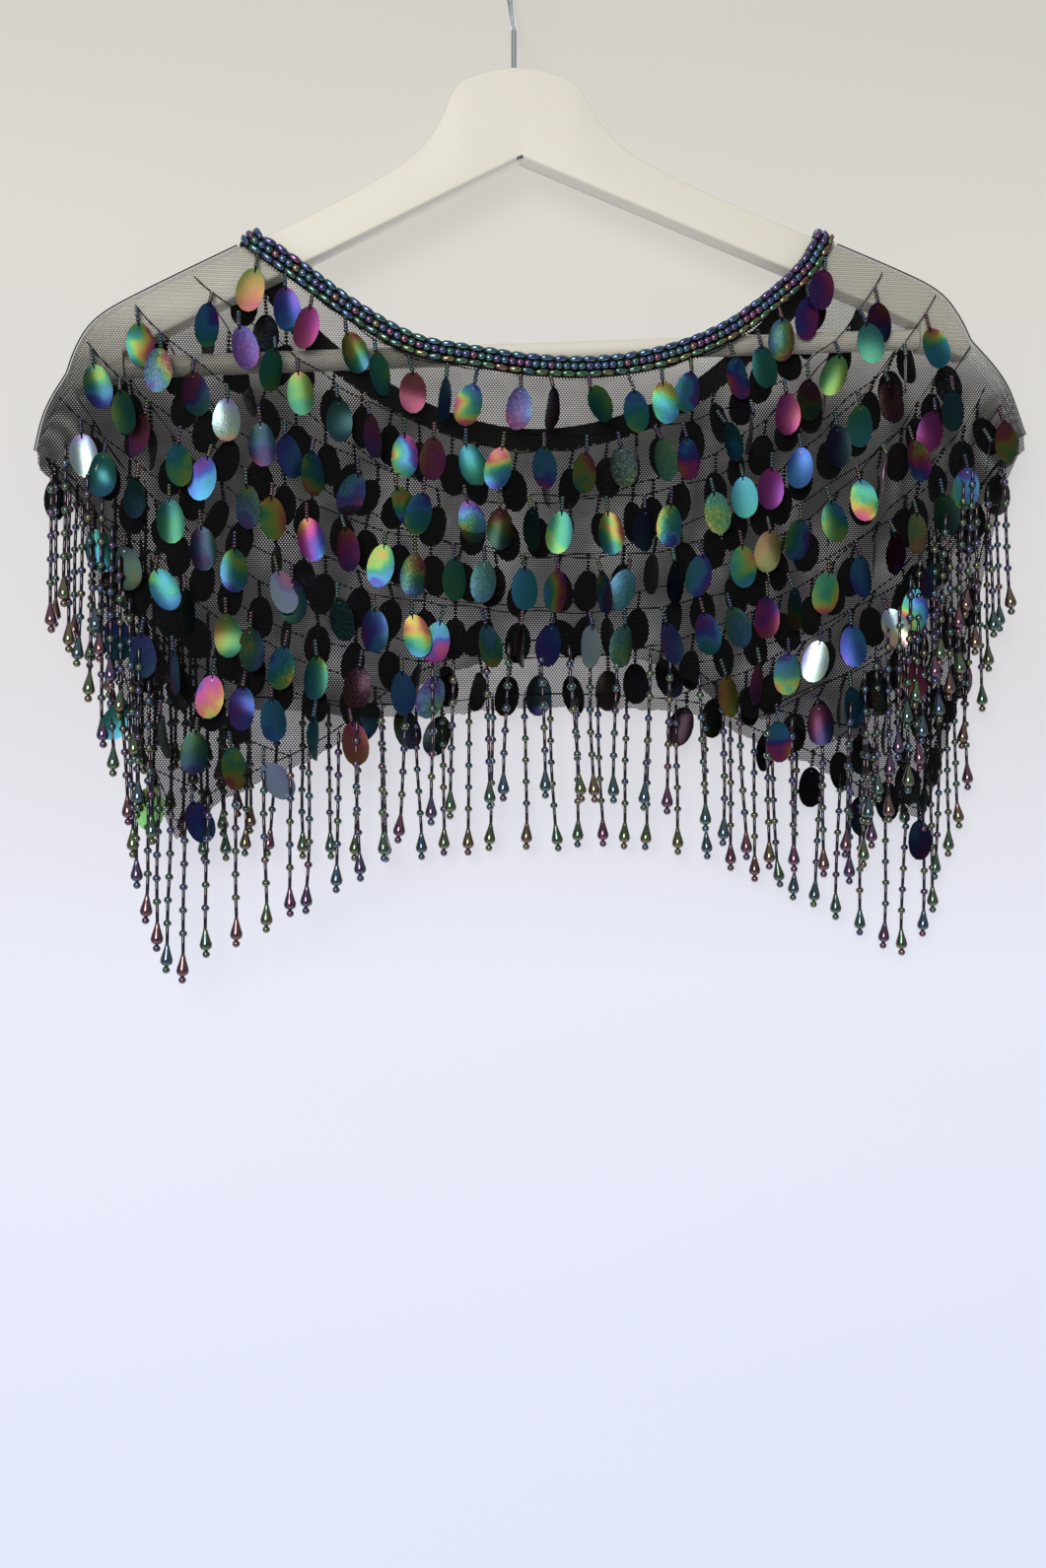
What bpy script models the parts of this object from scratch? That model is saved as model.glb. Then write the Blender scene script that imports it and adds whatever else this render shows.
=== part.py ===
"""Short beaded net cape hung on a flat painted wooden clothes hanger.

The cape is a front and a back panel of net with a wide neck. A tape binds the neck, three rows of
beads lie on the tape, and a strip along each panel's side and hem edges carries a fringe of beaded
strands. The panels hang almost flat over the hanger's arms.

Metres, +Z up, the wearer's front towards -Y. The origin is where the hook rests on its rail.
"""
import math
from typing import NamedTuple

import bpy
import numpy as np
from mathutils import Matrix

NAME = "beaded_net_cape"
GAP = 0.0004                # clearance between pieces that touch on the real one
RIDGE_GAP = 0.0007          # the same along the tops of the arms, where the cloth bridges the curve
SEAM = 0.0003               # gap between two pieces sewn edge to edge

# Hanger
TILT = math.radians(4.0)    # how far the left arm hangs lower than the right one
WOOD_HALF = 0.0065          # half the thickness of the wooden body
WOOD_BEVEL = 0.0012         # broken edge all round the wood
APEX_DROP = 0.1083          # underside's peak below the rail seat
ARM_SLOPE = 0.4525          # fall of the arms' underside
BAR_RADIUS = 0.0051
BAR_DROP = 0.2030           # bar's axis below the rail seat
SOCKET_X = 0.1970           # upright face that the bar's end butts against
SOCKET_FLOOR = 0.2088       # foot of that face below the rail seat
WIRE_RADIUS = 0.0014
CROWN_RADIUS = 0.0200       # inside of the hook
CROWN_START = math.radians(250)
CROWN_END = math.radians(-32)
STEM_BEND = 0.0035
HOOK_TURN = math.radians(6.5)  # the hook stands a little turned on its stem
SHIFT_FOOT = -0.0450           # above it the upright wire comes back over the crown's middle
BORE_RADIUS = 0.00178
BORE_DEPTH = 0.0140

# Cape
CLOTH = 0.0010              # wall that stands for the net and for the tape
ARM_DEPTH = WOOD_HALF + GAP     # inner face of a panel from the middle plane, at the arms
HEM_DEPTH = 0.0105          # the same at the hem, between the folds
FOLD_FLAT = 0.0053          # half the width of the flat top where the net lies over an arm
FOLD_ROUND = ARM_DEPTH - FOLD_FLAT
HANG_TOP = -0.2150          # below this height the panels start to fall away from the hanger
HANG_HEM = -0.4000
TIP_SHARE = 0.30            # how flat the shoulder tips close, as a share of the depth
TIP_REACH = 0.0300
TIP_BLUNT = 0.0080          # raw edge left at the very tip
TAPE_HALF = 0.0052
BAND_HALF = 0.0044          # half the width of the three bead rows
BEAD_HEIGHT = 0.0030
COLUMN_STEP = 0.0112        # spacing of a panel's upright grid lines
NECK_STEP = 0.0100          # the same along the neck
COLUMN_TURN = math.radians(16)  # a ridge that turns this much gets one grid line more
PANEL_ROWS = 7              # grid cells from the fold's foot down to the hem

# Fringe
HEM_INSET = 0.0065          # strip's middle inside the panel's cut edge, where that edge is level
SIDE_INSET = 0.0030         # the same where the edge is upright
STRIP_HALF = 0.0015
STRIP_THICK = 0.0012
STRIP_CLEAR = 0.0006        # gap between the panel's outer face and the strip
STRAND_STEP = 0.0135
STRAND_MIN_X = 0.0042       # sideways room a strand needs beside the next one
ROOT_HALF = 0.0008


class Point(NamedTuple):
    """A point of an outline in the elevation, seen from the front."""
    x: float
    z: float


class Fold(NamedTuple):
    """A soft fold that runs down a panel and grows towards the hem."""
    x_top: float
    x_hem: float
    rise: float
    half_width: float


class Ring(NamedTuple):
    """A cross-section of a strand, at a distance below its root."""
    drop: float
    half_width: float


# Upper edge of the right half of the wood, from the middle to the arm's end, in the hanger's own frame.
WOOD_TOP = (
    Point(0.0000, -0.0650), Point(0.0063, -0.0653), Point(0.0130, -0.0664), Point(0.0205, -0.0685),
    Point(0.0265, -0.0712), Point(0.0310, -0.0755), Point(0.0350, -0.0830), Point(0.0390, -0.0909),
    Point(0.0440, -0.0980), Point(0.0510, -0.1052), Point(0.0610, -0.1121), Point(0.0740, -0.1195),
    Point(0.0900, -0.1276), Point(0.1100, -0.1368), Point(0.1500, -0.1544), Point(0.1850, -0.1702),
    Point(0.2020, -0.1788), Point(0.2110, -0.1862), Point(0.2175, -0.1965), Point(0.2218, -0.2068),
)
WOOD_TIP = (Point(0.2232, -0.2118), Point(0.2215, -0.2148), Point(0.2175, -0.2146))

# Free fall of the shoulder folds from the arms' ends to the cape's tips.
LEFT_DROP = (Point(-0.2228, -0.2575), Point(-0.2200, -0.2460), Point(-0.2160, -0.2360))
RIGHT_DROP = (Point(0.2670, -0.2365), Point(0.2620, -0.2250), Point(0.2555, -0.2125), Point(0.2480, -0.2025))

FRONT_NECK = (
    Point(-0.1140, -0.1605), Point(-0.1005, -0.1695), Point(-0.0721, -0.1888), Point(-0.0452, -0.2025),
    Point(-0.0163, -0.2073), Point(0.0154, -0.2108), Point(0.0469, -0.2103), Point(0.0788, -0.2039),
    Point(0.1110, -0.1901), Point(0.1400, -0.1681), Point(0.1515, -0.1562),
)
BACK_NECK = (
    Point(-0.1150, -0.1665), Point(-0.1091, -0.1770), Point(-0.0948, -0.1958), Point(-0.0655, -0.2180),
    Point(-0.0295, -0.2354), Point(0.0098, -0.2431), Point(0.0522, -0.2375), Point(0.0951, -0.2188),
    Point(0.1300, -0.1895), Point(0.1490, -0.1680), Point(0.1545, -0.1580),
)
NECK_CROSS_LEFT = -0.1220   # where the neck's middle line passes over each arm
NECK_CROSS_RIGHT = 0.1592

# Cut edges of the panels: left side, hem and right side, which meet at the two lower corners.
FRONT_EDGES = (
    (Point(-0.2218, -0.2645), Point(-0.2034, -0.2871), Point(-0.1948, -0.3194), Point(-0.1866, -0.3565),
     Point(-0.1748, -0.3983), Point(-0.1625, -0.4304), Point(-0.1570, -0.4403)),
    (Point(-0.1570, -0.4403), Point(-0.1416, -0.4267), Point(-0.1246, -0.4174), Point(-0.0870, -0.3991),
     Point(-0.0547, -0.3753), Point(-0.0310, -0.3624), Point(0.0048, -0.3525), Point(0.0411, -0.3521),
     Point(0.0704, -0.3552), Point(0.0901, -0.3637), Point(0.1100, -0.3785), Point(0.1350, -0.3850),
     Point(0.1758, -0.3936)),
    (Point(0.1758, -0.3936), Point(0.1897, -0.3676), Point(0.2060, -0.3370), Point(0.2175, -0.3129),
     Point(0.2356, -0.2827), Point(0.2513, -0.2590), Point(0.2670, -0.2440)),
)
BACK_EDGES = (
    (Point(-0.2228, -0.2650), Point(-0.2075, -0.2760), Point(-0.1969, -0.2958), Point(-0.1728, -0.3454),
     Point(-0.1564, -0.3715), Point(-0.1494, -0.3858)),
    (Point(-0.1494, -0.3858), Point(-0.1321, -0.3796), Point(-0.1021, -0.3792), Point(-0.0484, -0.3820),
     Point(0.0077, -0.3768), Point(0.0451, -0.3764), Point(0.0983, -0.3800), Point(0.1286, -0.3925),
     Point(0.1650, -0.4080), Point(0.1854, -0.4230), Point(0.2188, -0.4328)),
    (Point(0.2188, -0.4328), Point(0.2264, -0.4090), Point(0.2397, -0.3611), Point(0.2514, -0.3020),
     Point(0.2600, -0.2650), Point(0.2670, -0.2440)),
)
FRONT_FOLDS = (
    Fold(-0.0860, -0.0640, 0.0036, 0.0150), Fold(0.1180, 0.1120, 0.0034, 0.0150),
    Fold(-0.1500, -0.1240, 0.0028, 0.0160), Fold(0.1800, 0.1600, 0.0026, 0.0150),
    Fold(-0.1900, -0.1700, 0.0018, 0.0110), Fold(0.0150, 0.0260, 0.0014, 0.0260),
)
BACK_FOLDS = (
    Fold(-0.1000, -0.0820, 0.0030, 0.0160), Fold(0.1250, 0.1380, 0.0036, 0.0160),
    Fold(-0.1550, -0.1420, 0.0020, 0.0130), Fold(0.1950, 0.2000, 0.0028, 0.0140),
    Fold(0.0100, 0.0000, 0.0016, 0.0280),
)

# Outline of the bead band across its width: distance from the middle line and height over the tape.
BAND_PROFILE = tuple(
    (share * BAND_HALF, height * BEAD_HEIGHT)
    for share, height in ((-0.86, 0.0), (-1.0, 0.45), (-0.68, 1.0), (-0.34, 0.62), (0.0, 1.0),
                          (0.34, 0.62), (0.68, 1.0), (1.0, 0.45), (0.86, 0.0))
)
STRAND = (Ring(0.0018, 0.0009), Ring(0.0600, 0.0008), Ring(0.0680, 0.0025), Ring(0.0735, 0.0012))


class Finish(NamedTuple):
    """Colour, roughness and metallic value of a material."""
    colour: tuple
    roughness: float
    metallic: float


FINISHES = {
    "paint": Finish((0.78, 0.75, 0.68), 0.42, 0.0),
    "bar": Finish((0.80, 0.78, 0.72), 0.40, 0.0),
    "chrome": Finish((0.72, 0.74, 0.76), 0.14, 1.0),
    "net": Finish((0.035, 0.033, 0.036), 0.80, 0.0),
    "tape": Finish((0.020, 0.020, 0.022), 0.85, 0.0),
    "beads": Finish((0.090, 0.095, 0.130), 0.25, 0.7),
    "fringe": Finish((0.180, 0.140, 0.150), 0.28, 0.7),
}


def smooth_line(points, step):
    """Points about one step apart on the smooth curve (Catmull-Rom) through the given ones."""
    knots = np.array(points, dtype=float)
    padded = np.vstack((2 * knots[0] - knots[1], knots, 2 * knots[-1] - knots[-2]))
    curve = []
    for before, start, end, after in zip(padded, padded[1:], padded[2:], padded[3:]):
        pieces = max(1, round(np.linalg.norm(end - start) / step))
        for t in np.arange(pieces) / pieces:
            curve.append(0.5 * (2 * start + (end - before) * t
                                + (2 * before - 5 * start + 4 * end - after) * t ** 2
                                + (3 * start - before - 3 * end + after) * t ** 3))
    return np.vstack((curve, knots[-1]))


def even_line(line, step):
    """The same polyline cut into equal lengths of about one step."""
    run = lengths(line)
    count = max(2, round(run[-1] / step) + 1)
    at = np.linspace(0, run[-1], count)
    return np.column_stack((np.interp(at, run, line[:, 0]), np.interp(at, run, line[:, 1])))


def bend_line(line, step, turn):
    """The same polyline with points a step apart where straight, and closer where it bends."""
    course = np.unwrap(np.arctan2(*np.gradient(line, axis=0).T[::-1]))
    measure = lengths(line) / step + np.concatenate(([0.0], np.cumsum(abs(np.diff(course))))) / turn
    at = np.linspace(0, measure[-1], max(2, round(measure[-1]) + 1))
    return np.column_stack((np.interp(at, measure, line[:, 0]), np.interp(at, measure, line[:, 1])))


def lengths(line):
    """Distance along a polyline at each of its points."""
    return np.concatenate(([0.0], np.cumsum(np.linalg.norm(np.diff(line, axis=0), axis=1))))


def tangents(line):
    """Unit directions along a polyline."""
    slope = np.gradient(line, axis=0)
    return slope / np.linalg.norm(slope, axis=1)[:, None]


def right_of(directions):
    """Unit directions a quarter turn clockwise, seen from the front."""
    return np.column_stack((directions[:, 1], -directions[:, 0]))


def tilted(line):
    """Outline points turned from the hanger's own frame to the world's."""
    cos, sin = math.cos(TILT), math.sin(TILT)
    return np.column_stack((line[:, 0] * cos - line[:, 1] * sin, line[:, 0] * sin + line[:, 1] * cos))


def smoothstep(value):
    """Eases a clamped 0 to 1 value in and out."""
    value = np.clip(value, 0.0, 1.0)
    return value * value * (3 - 2 * value)


class Drape:
    """One half of the cape as a surface over its elevation, in front of or behind the hanger."""

    def __init__(self, side, neck, edges, folds):
        self.side = side
        self.folds = folds
        self.edges = [smooth_line(edge, 0.004) for edge in edges]
        self.outline = np.vstack((self.edges[0], self.edges[1][1:], self.edges[2][1:]))
        self.fold_left, self.fold_right = shoulder_folds()
        self.neck = neck

    def depth(self, x, z):
        """Distance of the inner face from the middle plane."""
        fall = (HANG_TOP - z) / (HANG_TOP - HANG_HEM)
        depth = ARM_DEPTH + (HEM_DEPTH - ARM_DEPTH) * smoothstep(fall)
        grown = np.clip(fall, 0.0, 1.2)
        for fold in self.folds:
            middle = fold.x_top + (fold.x_hem - fold.x_top) * grown
            depth = depth + fold.rise * grown * np.exp(-((x - middle) / fold.half_width) ** 2)
        return depth * self.tip_share(x, z)

    def tip_share(self, x, z):
        """1 over the hanger, falling towards the cape's two tips."""
        share = 1.0
        for tip in (LEFT_DROP[0], RIGHT_DROP[0]):
            reach = np.hypot(x - tip.x, z - tip.z) / TIP_REACH
            share = share * (TIP_SHARE + (1 - TIP_SHARE) * smoothstep(reach))
        return share

    def point(self, x, z, out=0.0):
        """World point on the surface, moved out from the inner face."""
        x, z = np.broadcast_arrays(x, z)
        step = 0.0005
        slope_x = (self.depth(x + step, z) - self.depth(x - step, z)) / (2 * step)
        slope_z = (self.depth(x, z + step) - self.depth(x, z - step)) / (2 * step)
        size = np.sqrt(1 + slope_x ** 2 + slope_z ** 2)
        depth = self.depth(x, z)
        return np.stack((x - out * slope_x / size, self.side * (depth + out / size),
                         z - out * slope_z / size), axis=-1)

    def crossing(self, at, inward, out=0.0):
        """Four world points from the fold's ridge down to the panel's face, moved out.

        at is the ridge point and inward its unit normal towards the panel, both in the elevation.
        """
        share = self.tip_share(at[0], at[1])
        flat, corner = FOLD_FLAT * share, FOLD_ROUND * share
        rows = []
        for width, turn in ((SEAM / 2, 0.0), (flat, 0.0), (flat, math.pi / 4), (flat, math.pi / 2)):
            y = width + (corner + out) * math.sin(turn)
            drop = corner - (corner + out) * math.cos(turn)
            rows.append((at[0] + inward[0] * drop, self.side * y, at[1] + inward[1] * drop))
        return np.array(rows)

    def neck_stations(self):
        """Ridge crossings and the middle line of the neck, with directions away from the opening."""
        left, left_dir = at_x(self.fold_left, NECK_CROSS_LEFT)
        right, right_dir = at_x(self.fold_right, NECK_CROSS_RIGHT)
        line = smooth_line(self.neck, 0.004)
        feet = np.array([left + FOLD_ROUND * right_of(left_dir[None])[0],
                         right + FOLD_ROUND * right_of(right_dir[None])[0]])
        line = even_line(np.vstack((feet[0], line, feet[1])), NECK_STEP)
        course = tangents(line)
        course[0] += right_of(left_dir[None])[0]
        course[-1] -= right_of(right_dir[None])[0]
        course /= np.linalg.norm(course, axis=1)[:, None]
        return (left, left_dir), line, right_of(course), (right, right_dir)


def shoulder_folds():
    """Ridge of the cape from each tip over the arm's top, inner face, left one then right one."""
    top = smooth_line(WOOD_TOP, 0.003)
    left = tilted(top[::-1] * (-1, 1))
    right = tilted(top)
    folds = []
    for arm, drop, outward in ((left, LEFT_DROP, -1), (right[::-1], RIGHT_DROP, 1)):
        lifted = arm + RIDGE_GAP * outward * right_of(tangents(arm))
        fall = smooth_line((*drop, Point(*lifted[0])), 0.004)
        line = np.vstack((fall[:-1], lifted))
        folds.append(line if outward < 0 else line[::-1])
    return folds


def at_x(line, x):
    """Point and unit direction of a polyline where it reaches x."""
    z = np.interp(x, line[:, 0], line[:, 1])
    step = 0.001
    ahead = np.interp(x + step, line[:, 0], line[:, 1])
    behind = np.interp(x - step, line[:, 0], line[:, 1])
    direction = np.array([2 * step, ahead - behind])
    return np.array([x, z]), direction / np.linalg.norm(direction)


def panel_surface(drape):
    """Inner face of one net panel: shoulder columns over the arms, neck columns between them."""
    (left, left_dir), line, away, (right, right_dir) = drape.neck_stations()
    start = TAPE_HALF + SEAM
    left_end, right_end = left - start * left_dir, right + start * right_dir
    columns = []
    for point, direction in ridge_stations(drape.fold_left, None, left_end[0]):
        columns.append(shoulder_column(drape, point, right_of(direction[None])[0]))
    for at, out in zip(line[1:-1], away[1:-1]):
        columns.append((None, at + start * out))
    for point, direction in ridge_stations(drape.fold_right, right_end[0], None):
        columns.append(shoulder_column(drape, point, right_of(direction[None])[0]))
    feet = column_feet(drape, np.array([foot for _, foot in columns]))
    share = np.linspace(0, 1, PANEL_ROWS + 1)
    verts, index, faces = [], [], []
    for (crossing, top), foot in zip(columns, feet):
        run = top + (foot - top) * share[:, None]
        body = drape.point(run[:, 0], run[:, 1])
        rows = body if crossing is None else np.vstack((crossing[:-1], body))
        missing = 3 if crossing is None else 0
        index.append([None] * missing + list(range(len(verts), len(verts) + len(rows))))
        verts.extend(rows)
    for here, there in zip(index, index[1:]):
        for row in range(len(here) - 1):
            quad = (here[row], here[row + 1], there[row + 1], there[row])
            if None not in quad:
                faces.append(quad if drape.side < 0 else quad[::-1])
    return verts, faces


def ridge_stations(line, x_from, x_to):
    """Points and directions on a ridge between two places."""
    low = line[0, 0] if x_from is None else x_from
    high = line[-1, 0] if x_to is None else x_to
    inside = line[(line[:, 0] > low) & (line[:, 0] < high)]
    ends = [at_x(line, x)[0] for x in (low, high)]
    part = bend_line(np.vstack((ends[0], inside, ends[1])), COLUMN_STEP, COLUMN_TURN)
    return list(zip(part, tangents(part)))


def shoulder_column(drape, point, inward):
    """The rows over an arm, and the elevation of the panel's face below them."""
    rows = drape.crossing(point, inward)
    return rows, rows[-1][[0, 2]]


def column_feet(drape, tops):
    """Lower ends of the columns on the cut edge, straight below their tops, corners kept sharp."""
    outline = drape.outline
    x = np.clip(tops[:, 0], outline[0, 0], outline[-1, 0])
    for corner in (drape.edges[1][0], drape.edges[1][-1]):
        x[np.argmin(abs(x - corner[0]))] = corner[0]
    feet = np.column_stack((x, np.interp(x, outline[:, 0], outline[:, 1])))
    shallow = tops[:, 1] - feet[:, 1] < TIP_BLUNT
    feet[shallow, 1] = tops[shallow, 1] - TIP_BLUNT
    return feet


def neck_rows(drape, offset, out):
    """World points along the neck at one distance from its middle line, moved out."""
    (left, left_dir), line, away, (right, right_dir) = drape.neck_stations()
    inward_left = right_of(left_dir[None])[0]
    inward_right = right_of(right_dir[None])[0]
    start = drape.crossing(left - offset * left_dir, inward_left, out)
    end = drape.crossing(right + offset * right_dir, inward_right, out)[::-1]
    spread = line[1:-1] + offset * away[1:-1]
    return np.vstack((start, drape.point(spread[:, 0], spread[:, 1], out), end))


def neck_sweep(drape, profile, base):
    """Closed band swept along the neck from a profile of (offset, height) pairs."""
    rings = np.stack([neck_rows(drape, offset, base + height) for offset, height in profile], axis=1)
    stations, sides = rings.shape[:2]
    verts = rings.reshape(-1, 3)
    faces = []
    for station in range(stations - 1):
        for side in range(sides):
            a, b = station * sides + side, station * sides + (side + 1) % sides
            faces.append((a, b, b + sides, a + sides))
    faces.append(tuple(range(sides))[::-1])
    faces.append(tuple(range((stations - 1) * sides, stations * sides)))
    return verts, [face if drape.side < 0 else face[::-1] for face in faces]


def strand_places(drape):
    """Middle line of the fringe strip and the distances along it where strands hang."""
    line = even_line(drape.outline, 0.004)
    level = abs(tangents(line)[:, :1])
    inset = line - (SIDE_INSET + (HEM_INSET - SIDE_INSET) * level) * right_of(tangents(line))
    inset = even_line(smooth_line(even_line(inset, 0.012), 0.003), 0.003)
    run = lengths(inset)
    flat = abs(tangents(inset)[:, 0])
    places, at = [], STRAND_STEP / 4
    while at < run[-1] - STRAND_STEP / 5:
        places.append(at)
        at += max(STRAND_STEP, STRAND_MIN_X / max(np.interp(at, run, flat), 0.05))
    return inset, run, places


def fringe(drape):
    """Strip along a panel's cut edges with every strand drawn down from its lower side."""
    inset, run, places = strand_places(drape)
    at = np.sort(np.concatenate([[place - ROOT_HALF, place + ROOT_HALF] for place in places]))
    middle = np.column_stack([np.interp(at, run, inset[:, axis]) for axis in (0, 1)])
    course = tangents(inset)
    outward = right_of(np.column_stack([np.interp(at, run, course[:, axis]) for axis in (0, 1)]))
    outward /= np.linalg.norm(outward, axis=1)[:, None]
    low, high = middle + STRIP_HALF * outward, middle - STRIP_HALF * outward
    near = CLOTH + STRIP_CLEAR
    sections = np.stack([drape.point(line[:, 0], line[:, 1], out) for line, out in
                         ((high, near), (low, near), (low, near + STRIP_THICK), (high, near + STRIP_THICK))],
                        axis=1)
    verts = list(sections.reshape(-1, 3))
    faces = [(0, 3, 2, 1), tuple(4 * (len(at) - 1) + corner for corner in range(4))]
    for station in range(len(at) - 1):
        for side in range(4):
            a, b = 4 * station + side, 4 * station + (side + 1) % 4
            quad = (a, b, b + 4, a + 4)
            if side == 1 and station % 2 == 0:
                hang_strand(drape, verts, faces, quad, outward[station])
            else:
                faces.append(quad)
    return verts, [face if drape.side > 0 else face[::-1] for face in faces]


def hang_strand(drape, verts, faces, root, outward):
    """Rings of one four-sided strand below a root face, with its end closed."""
    corners = np.array([verts[index] for index in root])
    middle = corners.mean(axis=0)
    x = middle[0] + 0.0013 * outward[0]
    heights = middle[2] - np.linspace(0, 0.018, 7)
    reach = np.max(drape.depth(x, heights)) + CLOTH + STRIP_CLEAR + STRIP_THICK
    y = drape.side * max(reach, abs(middle[1]) + STRIP_THICK / 2)
    around = ((-1, -1), (-1, 1), (1, 1), (1, -1))
    previous = root
    for ring in STRAND:
        first = len(verts)
        for across, out in around:
            verts.append(np.array([x + across * ring.half_width, y + drape.side * out * ring.half_width,
                                   middle[2] - ring.drop]))
        current = tuple(range(first, first + 4))
        for side in range(4):
            after = (side + 1) % 4
            faces.append((previous[side], previous[after], current[after], current[side]))
        previous = current
    faces.append(previous)


def material(name):
    """Principled material with one finish from the table."""
    finish = FINISHES[name]
    made = bpy.data.materials.new(name)
    made.use_nodes = True
    shader = made.node_tree.nodes["Principled BSDF"]
    shader.inputs["Base Color"].default_value = (*finish.colour, 1.0)
    shader.inputs["Roughness"].default_value = finish.roughness
    shader.inputs["Metallic"].default_value = finish.metallic
    return made


def add_object(name, data, finish, collection, parent=None):
    """Object for one sub-part, with its own material, in the part's collection."""
    obj = bpy.data.objects.new(name, data)
    data.materials.append(material(finish))
    obj.active_material.name = f"{name}_{finish}"
    obj.parent = parent
    collection.objects.link(obj)
    return obj


def mesh_of(name, verts, faces):
    """Mesh from points and faces, shaded smooth but for its sharp edges."""
    mesh = bpy.data.meshes.new(name)
    mesh.from_pydata([tuple(map(float, vert)) for vert in verts], [], faces)
    mesh.shade_smooth()
    mesh.set_sharp_from_angle(angle=math.radians(40))
    return mesh


def solidify(obj):
    """Gives an open surface the cloth's wall, all of it on the outer side."""
    wall = obj.modifiers.new("wall", "SOLIDIFY")
    wall.thickness = CLOTH
    wall.offset = 1.0
    wall.use_even_offset = False


def wood_outline():
    """Closed outline of the hanger's wood in its own frame, left and right halves alike."""
    top = smooth_line(WOOD_TOP, 0.0085)
    under = np.array([(0.2120, -SOCKET_FLOOR - 0.0030), (SOCKET_X, -SOCKET_FLOOR),
                      (SOCKET_X, -APEX_DROP - ARM_SLOPE * SOCKET_X), (0.0, -APEX_DROP)])
    half = np.vstack((top, np.array(WOOD_TIP), under))
    return np.vstack((half, half[-2:0:-1] * (-1, 1)))


def build_wood(collection, cutters, parent):
    """Flat wooden body: filled outline, broken edges and the blind bore for the hook."""
    outline = wood_outline()
    curve = bpy.data.curves.new("wood_outline", "CURVE")
    curve.dimensions = "2D"
    curve.fill_mode = "BOTH"
    curve.extrude = WOOD_HALF
    spline = curve.splines.new("POLY")
    spline.points.add(len(outline) - 1)
    spline.points.foreach_set("co", np.column_stack((outline, np.zeros(len(outline)),
                                                     np.ones(len(outline)))).ravel())
    spline.use_cyclic_u = True
    drawn = bpy.data.objects.new("wood_outline", curve)
    collection.objects.link(drawn)
    mesh = bpy.data.meshes.new_from_object(drawn.evaluated_get(bpy.context.evaluated_depsgraph_get()))
    bpy.data.objects.remove(drawn)
    mesh.transform(Matrix.Rotation(math.pi / 2, 4, "X"))
    wood = add_object("hanger_body", mesh, "paint", collection, parent)
    weld = wood.modifiers.new("weld", "WELD")
    weld.merge_threshold = 0.00001
    edge = wood.modifiers.new("broken_edge", "BEVEL")
    edge.width = WOOD_BEVEL
    edge.segments = 1
    edge.limit_method = "ANGLE"
    edge.angle_limit = math.radians(70)
    top = -WOOD_TOP[0].z
    bpy.ops.mesh.primitive_cylinder_add(vertices=12, radius=BORE_RADIUS, depth=2 * BORE_DEPTH)
    bore = bpy.context.object
    bore.name = "hook_bore"
    bore.parent = parent
    bore.location = (0, 0, -top)
    bore.hide_render = True
    bore.display_type = "WIRE"
    bore.users_collection[0].objects.unlink(bore)
    cutters.objects.link(bore)
    cut = wood.modifiers.new("hook_bore", "BOOLEAN")
    cut.object = bore
    return wood


def build_bar(collection, parent):
    """Round trouser bar between the arms' sockets."""
    bpy.ops.mesh.primitive_cylinder_add(vertices=20, radius=BAR_RADIUS, depth=2 * (SOCKET_X - GAP))
    drawn = bpy.context.object
    mesh = drawn.data
    bpy.data.objects.remove(drawn)
    mesh.transform(Matrix.Rotation(math.pi / 2, 4, "Y"))
    mesh.shade_smooth()
    mesh.set_sharp_from_angle(angle=math.radians(40))
    bar = add_object("hanger_bar", mesh, "bar", collection, parent)
    bar.location = (0, 0, -BAR_DROP)
    return bar


def hook_line():
    """Centre line of the wire as (distance to the front, z): stem, sharp bend, crown, plain end."""
    radius = CROWN_RADIUS + WIRE_RADIUS
    centre_z = WIRE_RADIUS - radius
    start = np.array([radius * math.cos(CROWN_START), centre_z + radius * math.sin(CROWN_START)])
    course = np.array([math.sin(CROWN_START), -math.cos(CROWN_START)])
    corner_z = start[1] - course[1] * start[0] / course[0]
    turn = math.acos(course[1])
    foot_z = WOOD_TOP[0].z - BORE_DEPTH + GAP
    bend_z = corner_z - STEM_BEND * math.tan(turn / 2)
    line = [(0.0, foot_z), (0.0, WOOD_TOP[0].z - GAP), (0.0, WOOD_TOP[0].z + 0.5 * (bend_z - WOOD_TOP[0].z))]
    for share in np.linspace(0, 1, 5):
        angle = share * turn
        line.append((-STEM_BEND * (1 - math.cos(angle)), bend_z + STEM_BEND * math.sin(angle)))
    for angle in np.linspace(CROWN_START, CROWN_END, 22):
        line.append((radius * math.cos(angle), centre_z + radius * math.sin(angle)))
    return line


def hook_shift(forward, z):
    """Sideways place of the wire on the tilted wood: the stem stands upright, the crown's top is centred."""
    if forward > 0.0:
        return 0.0
    share = min(max((z - SHIFT_FOOT) / -SHIFT_FOOT, 0.0), 1.0)
    return math.tan(TILT) * max(z - WOOD_TOP[0].z, 0.0) * (1 - share * share * (3 - 2 * share))


def build_hook(collection, parent):
    """Plain wire hook, its crown's inner top at the origin."""
    curve = bpy.data.curves.new("hanger_hook", "CURVE")
    curve.dimensions = "3D"
    curve.bevel_depth = WIRE_RADIUS
    curve.bevel_resolution = 2
    curve.use_fill_caps = True
    spline = curve.splines.new("POLY")
    line = hook_line()
    spline.points.add(len(line) - 1)
    for point, (forward, z) in zip(spline.points, line):
        across = hook_shift(forward, z) - forward * math.sin(HOOK_TURN)
        point.co = (across, -forward * math.cos(HOOK_TURN), z, 1.0)
    return add_object("hanger_hook", curve, "chrome", collection, parent)


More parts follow.
